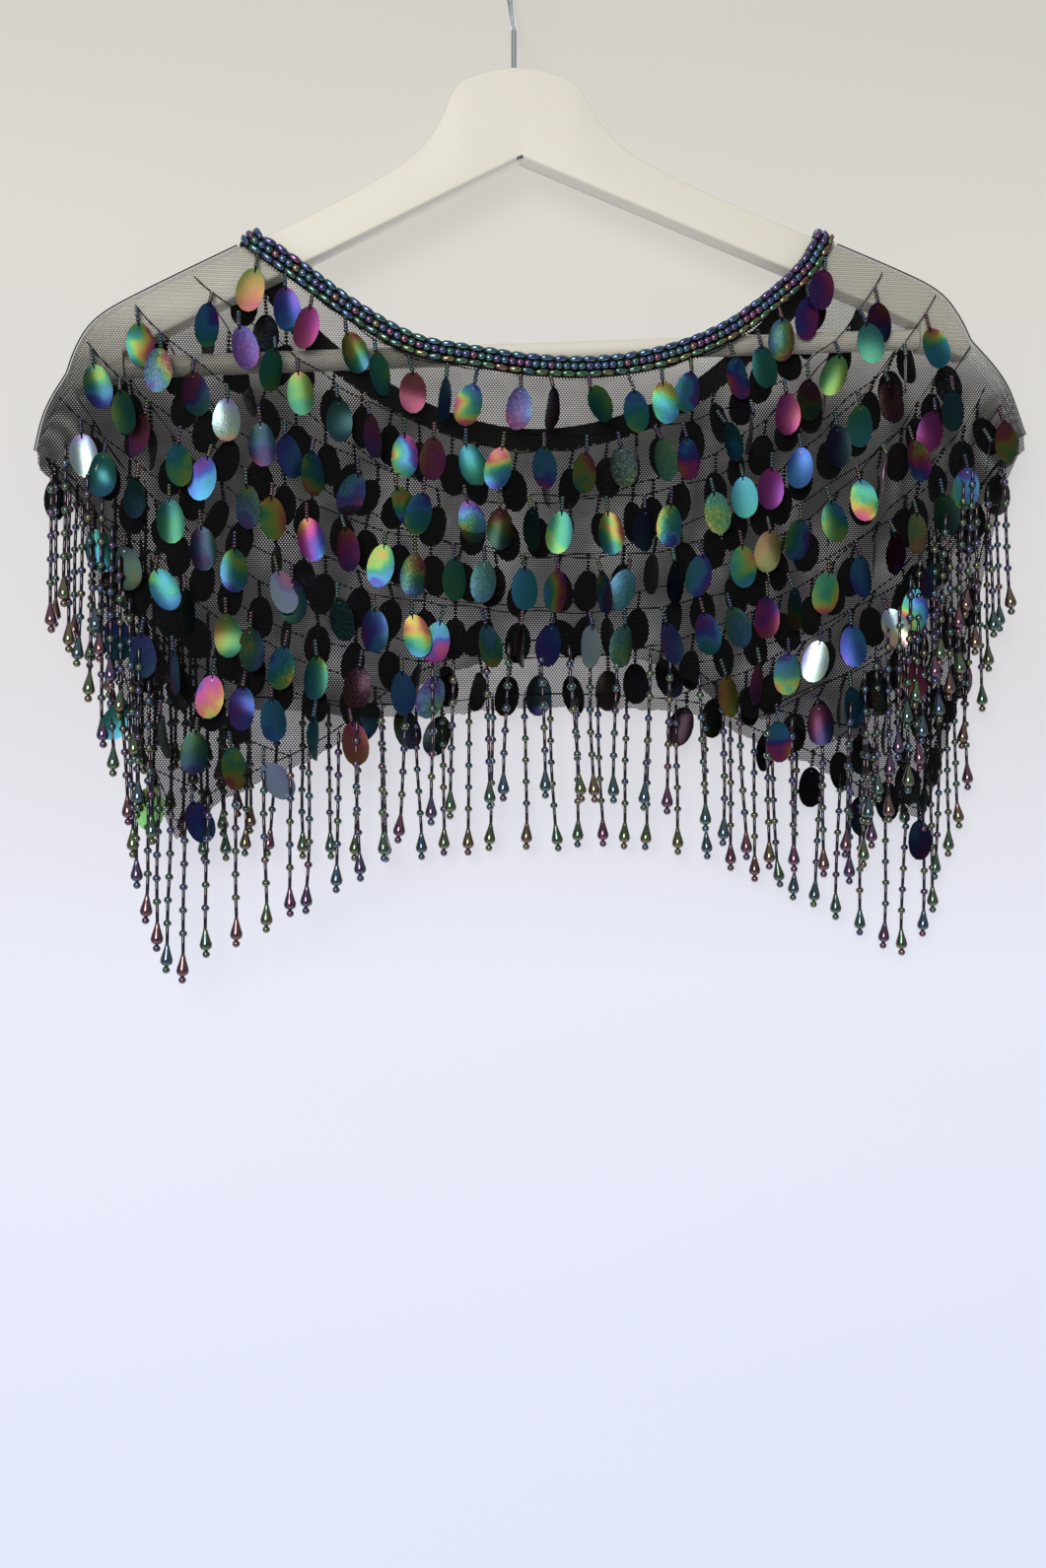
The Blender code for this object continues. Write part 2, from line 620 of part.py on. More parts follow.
def build_cape(collection):
    """Panels, neck tapes, bead bands and fringes, front and back."""
    sides = {"front": Drape(-1, FRONT_NECK, FRONT_EDGES, FRONT_FOLDS),
             "back": Drape(1, BACK_NECK, BACK_EDGES, BACK_FOLDS)}
    for side, drape in sides.items():
        solidify(add_object(f"net_{side}", mesh_of(f"net_{side}", *panel_surface(drape)), "net", collection))
        tape = ((-TAPE_HALF, CLOTH), (TAPE_HALF, CLOTH), (TAPE_HALF, 0.0), (-TAPE_HALF, 0.0))
        add_object(f"neck_tape_{side}", mesh_of(f"neck_tape_{side}", *neck_sweep(drape, tape, 0.0)),
                   "tape", collection)
        band = neck_sweep(drape, BAND_PROFILE, CLOTH + SEAM)
        add_object(f"neck_beads_{side}", mesh_of(f"neck_beads_{side}", *band), "beads", collection)
        add_object(f"fringe_{side}", mesh_of(f"fringe_{side}", *fringe(drape)), "fringe", collection)


def main():
    """Clears the file's objects and builds the whole part."""
    for old in list(bpy.data.objects):
        bpy.data.objects.remove(old)
    collection = bpy.data.collections.new(NAME)
    cutters = bpy.data.collections.new("cutters")
    for made in (collection, cutters):
        bpy.context.scene.collection.children.link(made)
    turn = bpy.data.objects.new("hanger_turn", None)
    turn.rotation_euler = (0.0, -TILT, 0.0)
    collection.objects.link(turn)
    build_wood(collection, cutters, turn)
    build_bar(collection, turn)
    build_hook(collection, turn)
    build_cape(collection)


main()
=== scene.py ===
"""Looks of a short beaded net cape that hangs on a painted wooden clothes hanger.

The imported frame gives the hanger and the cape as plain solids. Each gets its real surface here: a
sheer hexagonal net, a woven neck tape under three rows of beads, paillettes on beaded stalks, a
fringe of beaded strands, painted wood and plated wire. Metres, +Z up, the cape's front towards -Y.
"""
from __future__ import annotations

import logging
import math
from dataclasses import dataclass, field
from enum import Enum
from typing import NamedTuple, Sequence

import bmesh
import bpy
import numpy as np
from numpy.typing import NDArray
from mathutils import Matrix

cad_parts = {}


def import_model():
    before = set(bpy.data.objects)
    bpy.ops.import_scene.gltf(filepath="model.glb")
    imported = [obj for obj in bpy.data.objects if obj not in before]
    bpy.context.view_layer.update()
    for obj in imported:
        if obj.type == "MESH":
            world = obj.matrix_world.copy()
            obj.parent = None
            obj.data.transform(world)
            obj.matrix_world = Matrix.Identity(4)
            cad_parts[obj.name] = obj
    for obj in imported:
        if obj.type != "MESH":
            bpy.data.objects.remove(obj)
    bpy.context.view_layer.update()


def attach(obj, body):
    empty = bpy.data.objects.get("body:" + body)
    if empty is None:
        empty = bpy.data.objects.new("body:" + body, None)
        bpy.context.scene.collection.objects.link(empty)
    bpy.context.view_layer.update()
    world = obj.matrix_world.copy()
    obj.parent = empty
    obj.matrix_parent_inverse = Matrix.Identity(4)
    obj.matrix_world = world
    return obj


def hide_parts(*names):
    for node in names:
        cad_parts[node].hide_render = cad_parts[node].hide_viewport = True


LOG = logging.getLogger("cape")
Array = NDArray[np.float64]
Indices = NDArray[np.int64]
Random = np.random.Generator
Object = bpy.types.Object
Material = bpy.types.Material
Tree = bpy.types.NodeTree
Node = bpy.types.Node
Socket = bpy.types.NodeSocket
Triple = tuple[float, float, float]
Stops = Sequence[tuple[float, tuple[float, ...]]]

BODY = "root"
ACROSS = np.array((1.0, 0.0, 0.0))
DEEP = np.array((0.0, 1.0, 0.0))
ASKEW = DEEP + 0.01
MERGED_WITHIN = 1e-6
CRISP = 50.0


# Named options and rows of the tables

class Side(Enum):
    """Which half of the cape, with the way that it faces along Y."""
    FRONT = -1
    BACK = 1

    @property
    def label(self) -> str:
        """The word that ends the names of this half's pieces."""
        return self.name.lower()


class Point(NamedTuple):
    """A point of an outline in the elevation, seen from the front."""
    x: float
    z: float


def points(*pairs: tuple[float, float]) -> tuple[Point, ...]:
    """Outline points from their x and z."""
    return tuple(Point(*pair) for pair in pairs)


class Fold(NamedTuple):
    """A soft fold that runs down a panel and grows towards the hem."""
    x_top: float
    x_hem: float
    rise: float
    half_width: float


class Crease(NamedTuple):
    """A short ridge, or a trough where rise is negative, between two points of the elevation."""
    x_top: float
    z_top: float
    x_foot: float
    z_foot: float
    rise: float
    half_width: float


class BeadRow(NamedTuple):
    """One row of neck beads.

    Attributes:
        offset: Its place across the tape, from the middle line.
        gap: Space between two beads.
        radius: Half a bead's thickness.
        tones: Colour tones at the left end, before the middle and at the right end.
        spread: How far the tones of single beads stray.
        plumpness: 0 for a spindle, and fuller towards 1.
    """
    offset: float
    length: float
    gap: float
    radius: float
    tones: Triple
    spread: float
    plumpness: float


class NeckCourse(NamedTuple):
    """The neck's middle line with what is needed to carry it over both shoulder ridges.

    Attributes:
        line: Its points in the elevation, from left to right.
        away: Unit directions across it, away from the neck.
        ridges: Points of the left and the right ridge that it crosses.
        ways: Unit directions of the ridges there.
        inward: Unit normals of the ridges there, towards the panel.
    """
    line: Array
    away: Array
    ridges: Array
    ways: Array
    inward: Array


class Lamp(NamedTuple):
    """A square soft light."""
    name: str
    place: Triple
    size: float
    power: float
    tint: Triple


# The cape's cut, the same as in the frame

TILT = math.radians(4.0)
WOOD_HALF = 0.0065
GAP = 0.0004
RIDGE_GAP = 0.0007
SEAM = 0.0003
CLOTH = 0.0010
ARM_DEPTH = WOOD_HALF + GAP
HEM_DEPTH = 0.0105
FOLD_FLAT = 0.0053
FOLD_ROUND = ARM_DEPTH - FOLD_FLAT
HANG_TOP = -0.2150
HANG_HEM = -0.4000
TIP_SHARE = 0.30
TIP_REACH = 0.0300
TIP_BLUNT = 0.0080
TAPE_HALF = 0.0052
NECK_TURN = 0.0120
FOLD_GROWTH = 1.2
CREASE_FADE = 0.35
CUT_UNIT = 0.5

# Threads: their radius, and how far outside the panel's inner face they lie

THREAD = 0.00022
STITCH_OUT = CLOTH + 0.0002
THREAD_OUT = CLOTH + 0.0003
KNOT_OUT = CLOTH + 0.0004

# The wood's upper edge and the cut edges, in the elevation

WOOD_TOP = points(
    (0.0000, -0.0650), (0.0063, -0.0653), (0.0130, -0.0664), (0.0205, -0.0685),
    (0.0265, -0.0712), (0.0310, -0.0755), (0.0350, -0.0830), (0.0390, -0.0909),
    (0.0440, -0.0980), (0.0510, -0.1052), (0.0610, -0.1121), (0.0740, -0.1195),
    (0.0900, -0.1276), (0.1100, -0.1368), (0.1500, -0.1544), (0.1850, -0.1702),
    (0.2020, -0.1788), (0.2110, -0.1862), (0.2175, -0.1965), (0.2218, -0.2068),
)
ARM_TIP = Point(0.2230, -0.2106)
ARM_END_LOW = points(
    (0.2060, -0.2104), (0.2120, -0.2118), (0.2175, -0.2141), (0.2212, -0.2146),
)
LEFT_DROP = points((-0.2228, -0.2575), (-0.2200, -0.2460), (-0.2160, -0.2360))
RIGHT_DROP = points(
    (0.2670, -0.2365), (0.2620, -0.2250), (0.2555, -0.2125), (0.2480, -0.2025),
)
NECK_CROSS_LEFT = -0.1220
NECK_CROSS_RIGHT = 0.1592

FRONT_NECK = points(
    (-0.1140, -0.1605), (-0.1005, -0.1695), (-0.0721, -0.1888), (-0.0452, -0.2025),
    (-0.0163, -0.2073), (0.0154, -0.2108), (0.0469, -0.2103), (0.0788, -0.2039),
    (0.1110, -0.1901), (0.1400, -0.1681), (0.1515, -0.1562),
)
BACK_NECK = points(
    (-0.1150, -0.1665), (-0.1091, -0.1770), (-0.0948, -0.1958), (-0.0655, -0.2180),
    (-0.0295, -0.2354), (0.0098, -0.2431), (0.0522, -0.2375), (0.0951, -0.2188),
    (0.1300, -0.1895), (0.1490, -0.1680), (0.1545, -0.1580),
)
FRONT_EDGES = (
    points((-0.2218, -0.2645), (-0.2034, -0.2871), (-0.1948, -0.3194), (-0.1866, -0.3565),
           (-0.1748, -0.3983), (-0.1625, -0.4304), (-0.1570, -0.4403)),
    points((-0.1570, -0.4403), (-0.1416, -0.4267), (-0.1246, -0.4174), (-0.0870, -0.3991),
           (-0.0547, -0.3753), (-0.0310, -0.3624), (0.0048, -0.3525), (0.0411, -0.3521),
           (0.0704, -0.3552), (0.0901, -0.3637), (0.1100, -0.3785), (0.1350, -0.3850),
           (0.1758, -0.3936)),
    points((0.1758, -0.3936), (0.1897, -0.3676), (0.2060, -0.3370), (0.2175, -0.3129),
           (0.2356, -0.2827), (0.2513, -0.2590), (0.2670, -0.2440)),
)
BACK_EDGES = (
    points((-0.2228, -0.2650), (-0.2075, -0.2760), (-0.1969, -0.2958), (-0.1728, -0.3454),
           (-0.1564, -0.3715), (-0.1494, -0.3858)),
    points((-0.1494, -0.3858), (-0.1321, -0.3796), (-0.1021, -0.3792), (-0.0484, -0.3820),
           (0.0077, -0.3768), (0.0451, -0.3764), (0.0983, -0.3800), (0.1286, -0.3925),
           (0.1650, -0.4080), (0.1854, -0.4230), (0.2188, -0.4328)),
    points((0.2188, -0.4328), (0.2264, -0.4090), (0.2397, -0.3611), (0.2514, -0.3020),
           (0.2600, -0.2650), (0.2670, -0.2440)),
)
FRONT_FOLDS = (
    Fold(-0.0860, -0.0640, 0.0036, 0.0150), Fold(0.1180, 0.1120, 0.0034, 0.0150),
    Fold(-0.1500, -0.1240, 0.0028, 0.0160), Fold(0.1800, 0.1600, 0.0026, 0.0150),
    Fold(-0.1900, -0.1700, 0.0018, 0.0110), Fold(0.0150, 0.0260, 0.0014, 0.0260),
)
BACK_FOLDS = (
    Fold(-0.1000, -0.0820, 0.0030, 0.0160), Fold(0.1250, 0.1380, 0.0036, 0.0160),
    Fold(-0.1550, -0.1420, 0.0020, 0.0130), Fold(0.1950, 0.2000, 0.0028, 0.0140),
    Fold(0.0100, 0.0000, 0.0016, 0.0280),
)
FRONT_CREASES = (
    Crease(-0.1010, -0.2200, -0.0800, -0.3700, 0.0013, 0.0045),
    Crease(-0.0600, -0.2500, -0.0400, -0.3560, -0.0010, 0.0060),
    Crease(-0.1700, -0.2150, -0.1500, -0.3900, 0.0012, 0.0050),
    Crease(-0.2050, -0.2250, -0.1880, -0.3200, 0.0011, 0.0040),
    Crease(0.0620, -0.2500, 0.0580, -0.3400, 0.0008, 0.0060),
    Crease(0.1000, -0.2300, 0.0960, -0.3500, 0.0013, 0.0045),
    Crease(0.1450, -0.2000, 0.1380, -0.3600, -0.0011, 0.0060),
    Crease(0.2020, -0.1900, 0.1900, -0.3300, 0.0013, 0.0045),
    Crease(0.2380, -0.2050, 0.2250, -0.2900, 0.0012, 0.0040),
)
BACK_CREASES = (
    Crease(-0.1300, -0.2300, -0.1150, -0.3600, 0.0012, 0.0050),
    Crease(-0.0500, -0.2700, -0.0480, -0.3600, -0.0010, 0.0065),
    Crease(0.0500, -0.2700, 0.0560, -0.3600, 0.0009, 0.0060),
    Crease(0.1550, -0.2150, 0.1650, -0.3800, 0.0013, 0.0045),
    Crease(0.2250, -0.2100, 0.2280, -0.3500, 0.0012, 0.0045),
)

# Tones of the paillettes with their shares, and strand lines with their seeds and distances inwards

TONE_SHARES = (
    (0.00, 0.21), (0.08, 0.17), (0.16, 0.09), (0.28, 0.06), (0.42, 0.04),
    (0.52, 0.07), (0.62, 0.07), (0.70, 0.08), (0.78, 0.10), (0.88, 0.11),
)
STRAND_LINES = {
    Side.FRONT: (("fringe", 41, 0.0), ("inner", 61, 0.0110)),
    Side.BACK: (("fringe", 42, 0.0), ("inner", 62, 0.0150), ("inmost", 71, 0.0280)),
}


# Curves in the elevation

def smooth_line(given: Sequence[Sequence[float]], step: float) -> Array:
    """Points about one step apart on the smooth curve through the given ones.

    Between knots b and c, with a before and d after, the curve is the Catmull-Rom cubic
    0.5 (2b + (c - a) t + (2a - 5b + 4c - d) t^2 + (3b - a - 3c + d) t^3).

    Args:
        given: The curve's knots.
        step: Distance between the points that it gives.

    Returns:
        The curve's points, one row each.
    """
    knots = np.array(given, dtype=float)
    padded = np.vstack((2 * knots[0] - knots[1], knots, 2 * knots[-1] - knots[-2]))
    curve = []
    for before, start, end, after in zip(padded, padded[1:], padded[2:], padded[3:]):
        pieces = max(1, round(float(np.linalg.norm(end - start)) / step))
        t = (np.arange(pieces) / pieces)[:, None]
        curve.append(0.5 * (2 * start + (end - before) * t
                            + (2 * before - 5 * start + 4 * end - after) * t ** 2
                            + (3 * start - before - 3 * end + after) * t ** 3))
    return np.vstack((*curve, knots[-1]))


def lengths(line: Array) -> Array:
    """Distance along a polyline at each of its points."""
    return np.concatenate(([0.0], np.cumsum(np.linalg.norm(np.diff(line, axis=0), axis=1))))


def along(line: Array, at: Array) -> Array:
    """Points of a polyline at the given distances along it."""
    run = lengths(line)
    return np.column_stack([np.interp(at, run, line[:, axis]) for axis in range(line.shape[1])])


def even_line(line: Array, step: float) -> Array:
    """The same polyline cut into equal lengths of about one step."""
    total = lengths(line)[-1]
    return along(line, np.linspace(0, total, max(2, round(total / step) + 1)))


def to_unit(rows: Array) -> Array:
    """The same vectors, each made one unit long."""
    return rows / np.linalg.norm(rows, axis=-1, keepdims=True)


def tangents(line: Array) -> Array:
    """Unit directions along a polyline."""
    return to_unit(np.gradient(line, axis=0))


def right_of(directions: Array) -> Array:
    """Unit directions a quarter turn clockwise, seen from the front."""
    return np.column_stack((directions[:, 1], -directions[:, 0]))


def tilted(line: Array) -> Array:
    """Outline points turned from the hanger's own frame to the world's."""
    cos, sin = math.cos(TILT), math.sin(TILT)
    return np.column_stack((line[:, 0] * cos - line[:, 1] * sin, line[:, 0] * sin + line[:, 1] * cos))


def smoothstep(value: Array) -> Array:
    """3v^2 - 2v^3 of a value held between 0 and 1."""
    value = np.clip(value, 0.0, 1.0)
    return value * value * (3 - 2 * value)


def at_x(line: Array, x: float) -> tuple[Array, Array]:
    """Where a polyline reaches x.

    Args:
        line: Its points, x growing.
        x: The place.

    Returns:
        The point there, and the unit direction from a step before it to a step after it.
    """
    z, step = np.interp(x, line[:, 0], line[:, 1]), 0.001
    rise = np.interp(x + step, line[:, 0], line[:, 1]) - np.interp(x - step, line[:, 0], line[:, 1])
    direction = np.array([2 * step, rise])
    return np.array([x, z]), direction / np.linalg.norm(direction)


def shoulder_ridges() -> tuple[Array, Array]:
    """Ridge of the cape from each tip over the arm's top, the left one and the right one."""
    top = smooth_line(WOOD_TOP, 0.003)
    arms = ((tilted(top[::-1] * (-1, 1)), LEFT_DROP, -1), (tilted(top)[::-1], RIGHT_DROP, 1))
    ridges = []
    for arm, drop, outward in arms:
        lifted = arm + RIDGE_GAP * outward * right_of(tangents(arm))
        line = np.vstack((smooth_line((*drop, Point(*lifted[0])), 0.004)[:-1], lifted))
        ridges.append(line if outward < 0 else line[::-1])
    return ridges[0], ridges[1]


# Meshes from arrays

@dataclass
class Shape:
    """Points and faces of a mesh in the making, with values at its points.

    Attributes:
        verts: One row for each point.
        quads: Four point numbers for each four-cornered face.
        tris: Three point numbers for each three-cornered face.
        values: Numbers or vectors at the points, which become the mesh's attributes.
        flat: Place of each point in the flat cut, which becomes the UV map.
    """
    verts: Array
    quads: Indices
    tris: Indices = field(default_factory=lambda: np.zeros((0, 3), dtype=np.int64))
    values: dict[str, Array] = field(default_factory=dict)
    flat: Array | None = None

    def copies(self, frames: Array, places: Array, values: dict[str, Array] | None = None) -> Shape:
        """Copies of the shape, point p of copy i at frame_i p + place_i.

        Args:
            frames: A 3 by 3 matrix for each copy, its columns the copy's own axes.
            places: Origin of each copy.
            values: A number or vector for each copy, given to all its points.

        Returns:
            All the copies as one shape.
        """
        count, size = len(places), len(self.verts)
        verts = np.einsum("nij,vj->nvi", frames, self.verts) + places[:, None, :]
        step = (np.arange(count) * size)[:, None, None]
        given = {name: np.repeat(value, size, axis=0) for name, value in (values or {}).items()}
        own = {name: np.tile(value, (count,) + (1,) * (value.ndim - 1))
               for name, value in self.values.items()}
        return Shape(verts.reshape(-1, 3), (self.quads[None] + step).reshape(-1, 4),
                     (self.tris[None] + step).reshape(-1, 3), {**own, **given})

    @staticmethod
    def joined(shapes: Sequence[Shape]) -> Shape:
        """Several shapes with the same values as one."""
        starts = np.cumsum([0] + [len(shape.verts) for shape in shapes[:-1]])
        return Shape(
            np.vstack([shape.verts for shape in shapes]),
            np.vstack([shape.quads + start for shape, start in zip(shapes, starts)]),
            np.vstack([shape.tris + start for shape, start in zip(shapes, starts)]),
            {name: np.concatenate([shape.values[name] for shape in shapes]) for name in shapes[0].values},
            None if shapes[0].flat is None else np.vstack([shape.flat for shape in shapes]))

    def piece(self, name: str, material: Material, slot: str, crisp: float = 180.0) -> Object:
        """Makes the mesh and its object, which rides on the part.

        Args:
            name: The piece's name.
            material: Its finish.
            slot: Not used.
            crisp: Angle between two faces, in degrees, past which their edge is sharp.

        Returns:
            The new object, at the origin.
        """
        mesh = bpy.data.meshes.new(name)
        mesh.from_pydata(self.verts.tolist(), [], self.quads.tolist() + self.tris.tolist())
        for label, value in self.values.items():
            kind, entry = ("FLOAT_VECTOR", "vector") if value.ndim == 2 else ("FLOAT", "value")
            stored = mesh.attributes.new(label, kind, "POINT")
            stored.data.foreach_set(entry, value.astype(np.float32).ravel())
        if self.flat is not None:
            corners = np.concatenate((self.quads.ravel(), self.tris.ravel()))
            cut = mesh.uv_layers.new(name="cut")
            cut.data.foreach_set("uv", self.flat[corners].astype(np.float32).ravel())
        mesh.shade_smooth()
        if crisp < 180.0:
            mesh.set_sharp_from_angle(angle=math.radians(crisp))
        mesh.materials.append(material)
        made = bpy.data.objects.new(name, mesh)
        bpy.context.scene.collection.objects.link(made)
        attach(made, BODY)
        LOG.info("%s: %d faces", name, len(mesh.polygons))
        return made


def grid_quads(rows: int, columns: int, round_it: bool = False) -> Indices:
    """Faces of a grid of points stored row by row, closed along its rows if round_it."""
    across = columns if round_it else columns - 1
    row, column = np.meshgrid(np.arange(rows - 1), np.arange(across), indexing="ij")
    after = (column + 1) % columns
    return np.stack((row * columns + column, (row + 1) * columns + column,
                     (row + 1) * columns + after, row * columns + after), axis=-1).reshape(-1, 4)


def capped(rings: Array, top: Sequence[float], foot: Sequence[float]) -> Shape:
    """Closed skin over rings of points, its two ends fans round a middle point.

    Args:
        rings: Rings by points by three, from the top down.
        top: Middle of the first ring.
        foot: Middle of the last ring.

    Returns:
        The closed shape.
    """
    count, sides = rings.shape[:2]
    first, last = np.arange(sides), (count - 1) * sides + np.arange(sides)
    tops = np.column_stack((np.full(sides, count * sides), first, np.roll(first, -1)))
    feet = np.column_stack((np.full(sides, count * sides + 1), np.roll(last, -1), last))
    return Shape(np.vstack((rings.reshape(-1, 3), top, foot)), grid_quads(count, sides, round_it=True),
                 np.vstack((tops, feet)))


def skinned(rings: Array, flat: Array | None = None) -> Shape:
    """Closed skin over sections of any outline, each end filled from its section's first point.

    Args:
        rings: Sections by points by three.
        flat: The points' places in the flat cut, for a strip of cloth.

    Returns:
        The closed shape.
    """
    count, sides = rings.shape[:2]
    ends = (np.arange(sides), (count - 1) * sides + np.arange(sides)[::-1])
    tris = [np.column_stack((np.full(sides - 2, end[0]), end[1:-1], end[2:])) for end in ends]
    return Shape(rings.reshape(-1, 3), grid_quads(count, sides, round_it=True), np.vstack(tris), flat=flat)


def lathe(profile: Sequence[tuple[float, float]], sides: int) -> Shape:
    """Turned shape: profile point (r, h) gives the ring (r cos a, r sin a, h), its ends closed by fans.

    Args:
        profile: Radius and height from the top down.
        sides: Points in each ring.

    Returns:
        The closed shape.
    """
    radius, height = np.array(profile, dtype=float).T
    turn = 2 * np.pi * np.arange(sides) / sides
    rings = np.stack((np.outer(radius, np.cos(turn)), np.outer(radius, np.sin(turn)),
                      np.repeat(height[:, None], sides, axis=1)), axis=-1)
    return capped(rings, (0, 0, height[0]), (0, 0, height[-1]))


def ball(radius: float, half_height: float, reach: float, rings: int) -> Shape:
    """Ball with blunt poles: the ring at latitude b is radius cos b wide and half_height sin b high.

    Args:
        radius: Radius at its middle.
        half_height: Half its height, if it had whole poles.
        reach: Latitude of the first ring, the last one's being as far below the middle.
        rings: Number of rings.

    Returns:
        The closed shape.
    """
    rise = np.sin(np.linspace(reach, -reach, rings))
    return lathe([(radius * math.sqrt(1 - h * h), half_height * h) for h in rise], 9)


def frames_along(axes: Array, reference: Array = DEEP) -> Array:
    """A frame for each axis.

    Args:
        axes: Directions of any length.
        reference: A direction that none of them runs along.

    Returns:
        A 3 by 3 matrix for each: its third column is the axis, its first is square to it and to the
        reference, and its second is square to both.
    """
    axes = to_unit(axes)
    first = to_unit(np.cross(np.broadcast_to(reference, axes.shape), axes))
    return np.stack((first, np.cross(axes, first), axes), axis=-1)


def turned(angle: Array, axis: int) -> Array:
    """Rotation matrices about one axis: (cos, -sin; sin, cos) in the plane of the next two axes.

    Args:
        angle: The turn of each, in radians.
        axis: 0 for X, 1 for Y and 2 for Z.

    Returns:
        A 3 by 3 matrix for each angle.
    """
    made = np.zeros((len(angle), 3, 3))
    first, second = (axis + 1) % 3, (axis + 2) % 3
    made[:, axis, axis] = 1.0
    made[:, first, first] = made[:, second, second] = np.cos(angle)
    made[:, second, first], made[:, first, second] = np.sin(angle), -np.sin(angle)
    return made


def tube(path: Array, radius: float, sides: int, reference: Array = DEEP) -> Shape:
    """Round tube: ring i is path_i + radius (cos a, sin a) across the path, its ends closed by fans.

    Args:
        path: Middle line, one point a row.
        radius: The tube's radius.
        sides: Points in each ring.
        reference: A direction that the path never runs along.

    Returns:
        The closed shape.
    """
    frames = frames_along(-np.gradient(path, axis=0), reference)
    turn = 2 * np.pi * np.arange(sides) / sides
    ring = radius * np.column_stack((np.cos(turn), np.sin(turn), np.zeros(sides)))
    return capped(np.einsum("nij,vj->nvi", frames, ring) + path[:, None, :], path[0], path[-1])


def rods(starts: Array, ends: Array, radius: float) -> Shape:
    """Straight threads between pairs of points: a square bar one unit long, stretched along each.

    Args:
        starts: One end of each.
        ends: Its other end.
        radius: Half the bar's width, corner to corner.

    Returns:
        All of them as one closed shape.
    """
    line = ends - starts
    axes = frames_along(line)
    axes[..., 2] *= np.linalg.norm(line, axis=1)[:, None]
    return lathe([(radius, 0.5), (radius, -0.5)], 4).copies(axes, (starts + ends) / 2)


def merge(obj: Object, closed: bool = True) -> None:
    """Merges a piece's doubles, and then turns its faces outwards if it is a closed one."""
    made = bmesh.new()
    made.from_mesh(obj.data)
    bmesh.ops.remove_doubles(made, verts=made.verts[:], dist=MERGED_WITHIN)
    if closed:
        bmesh.ops.recalc_face_normals(made, faces=made.faces[:])
    made.to_mesh(obj.data)
    made.free()


def mixed(rng: Random, picked: NDArray[np.bool_], first: tuple[float, float],
          second: tuple[float, float]) -> Array:
    """Random values from the first range where picked, and from the second elsewhere."""
    return np.where(picked, rng.uniform(*first, len(picked)), rng.uniform(*second, len(picked)))


# The cape's halves as surfaces

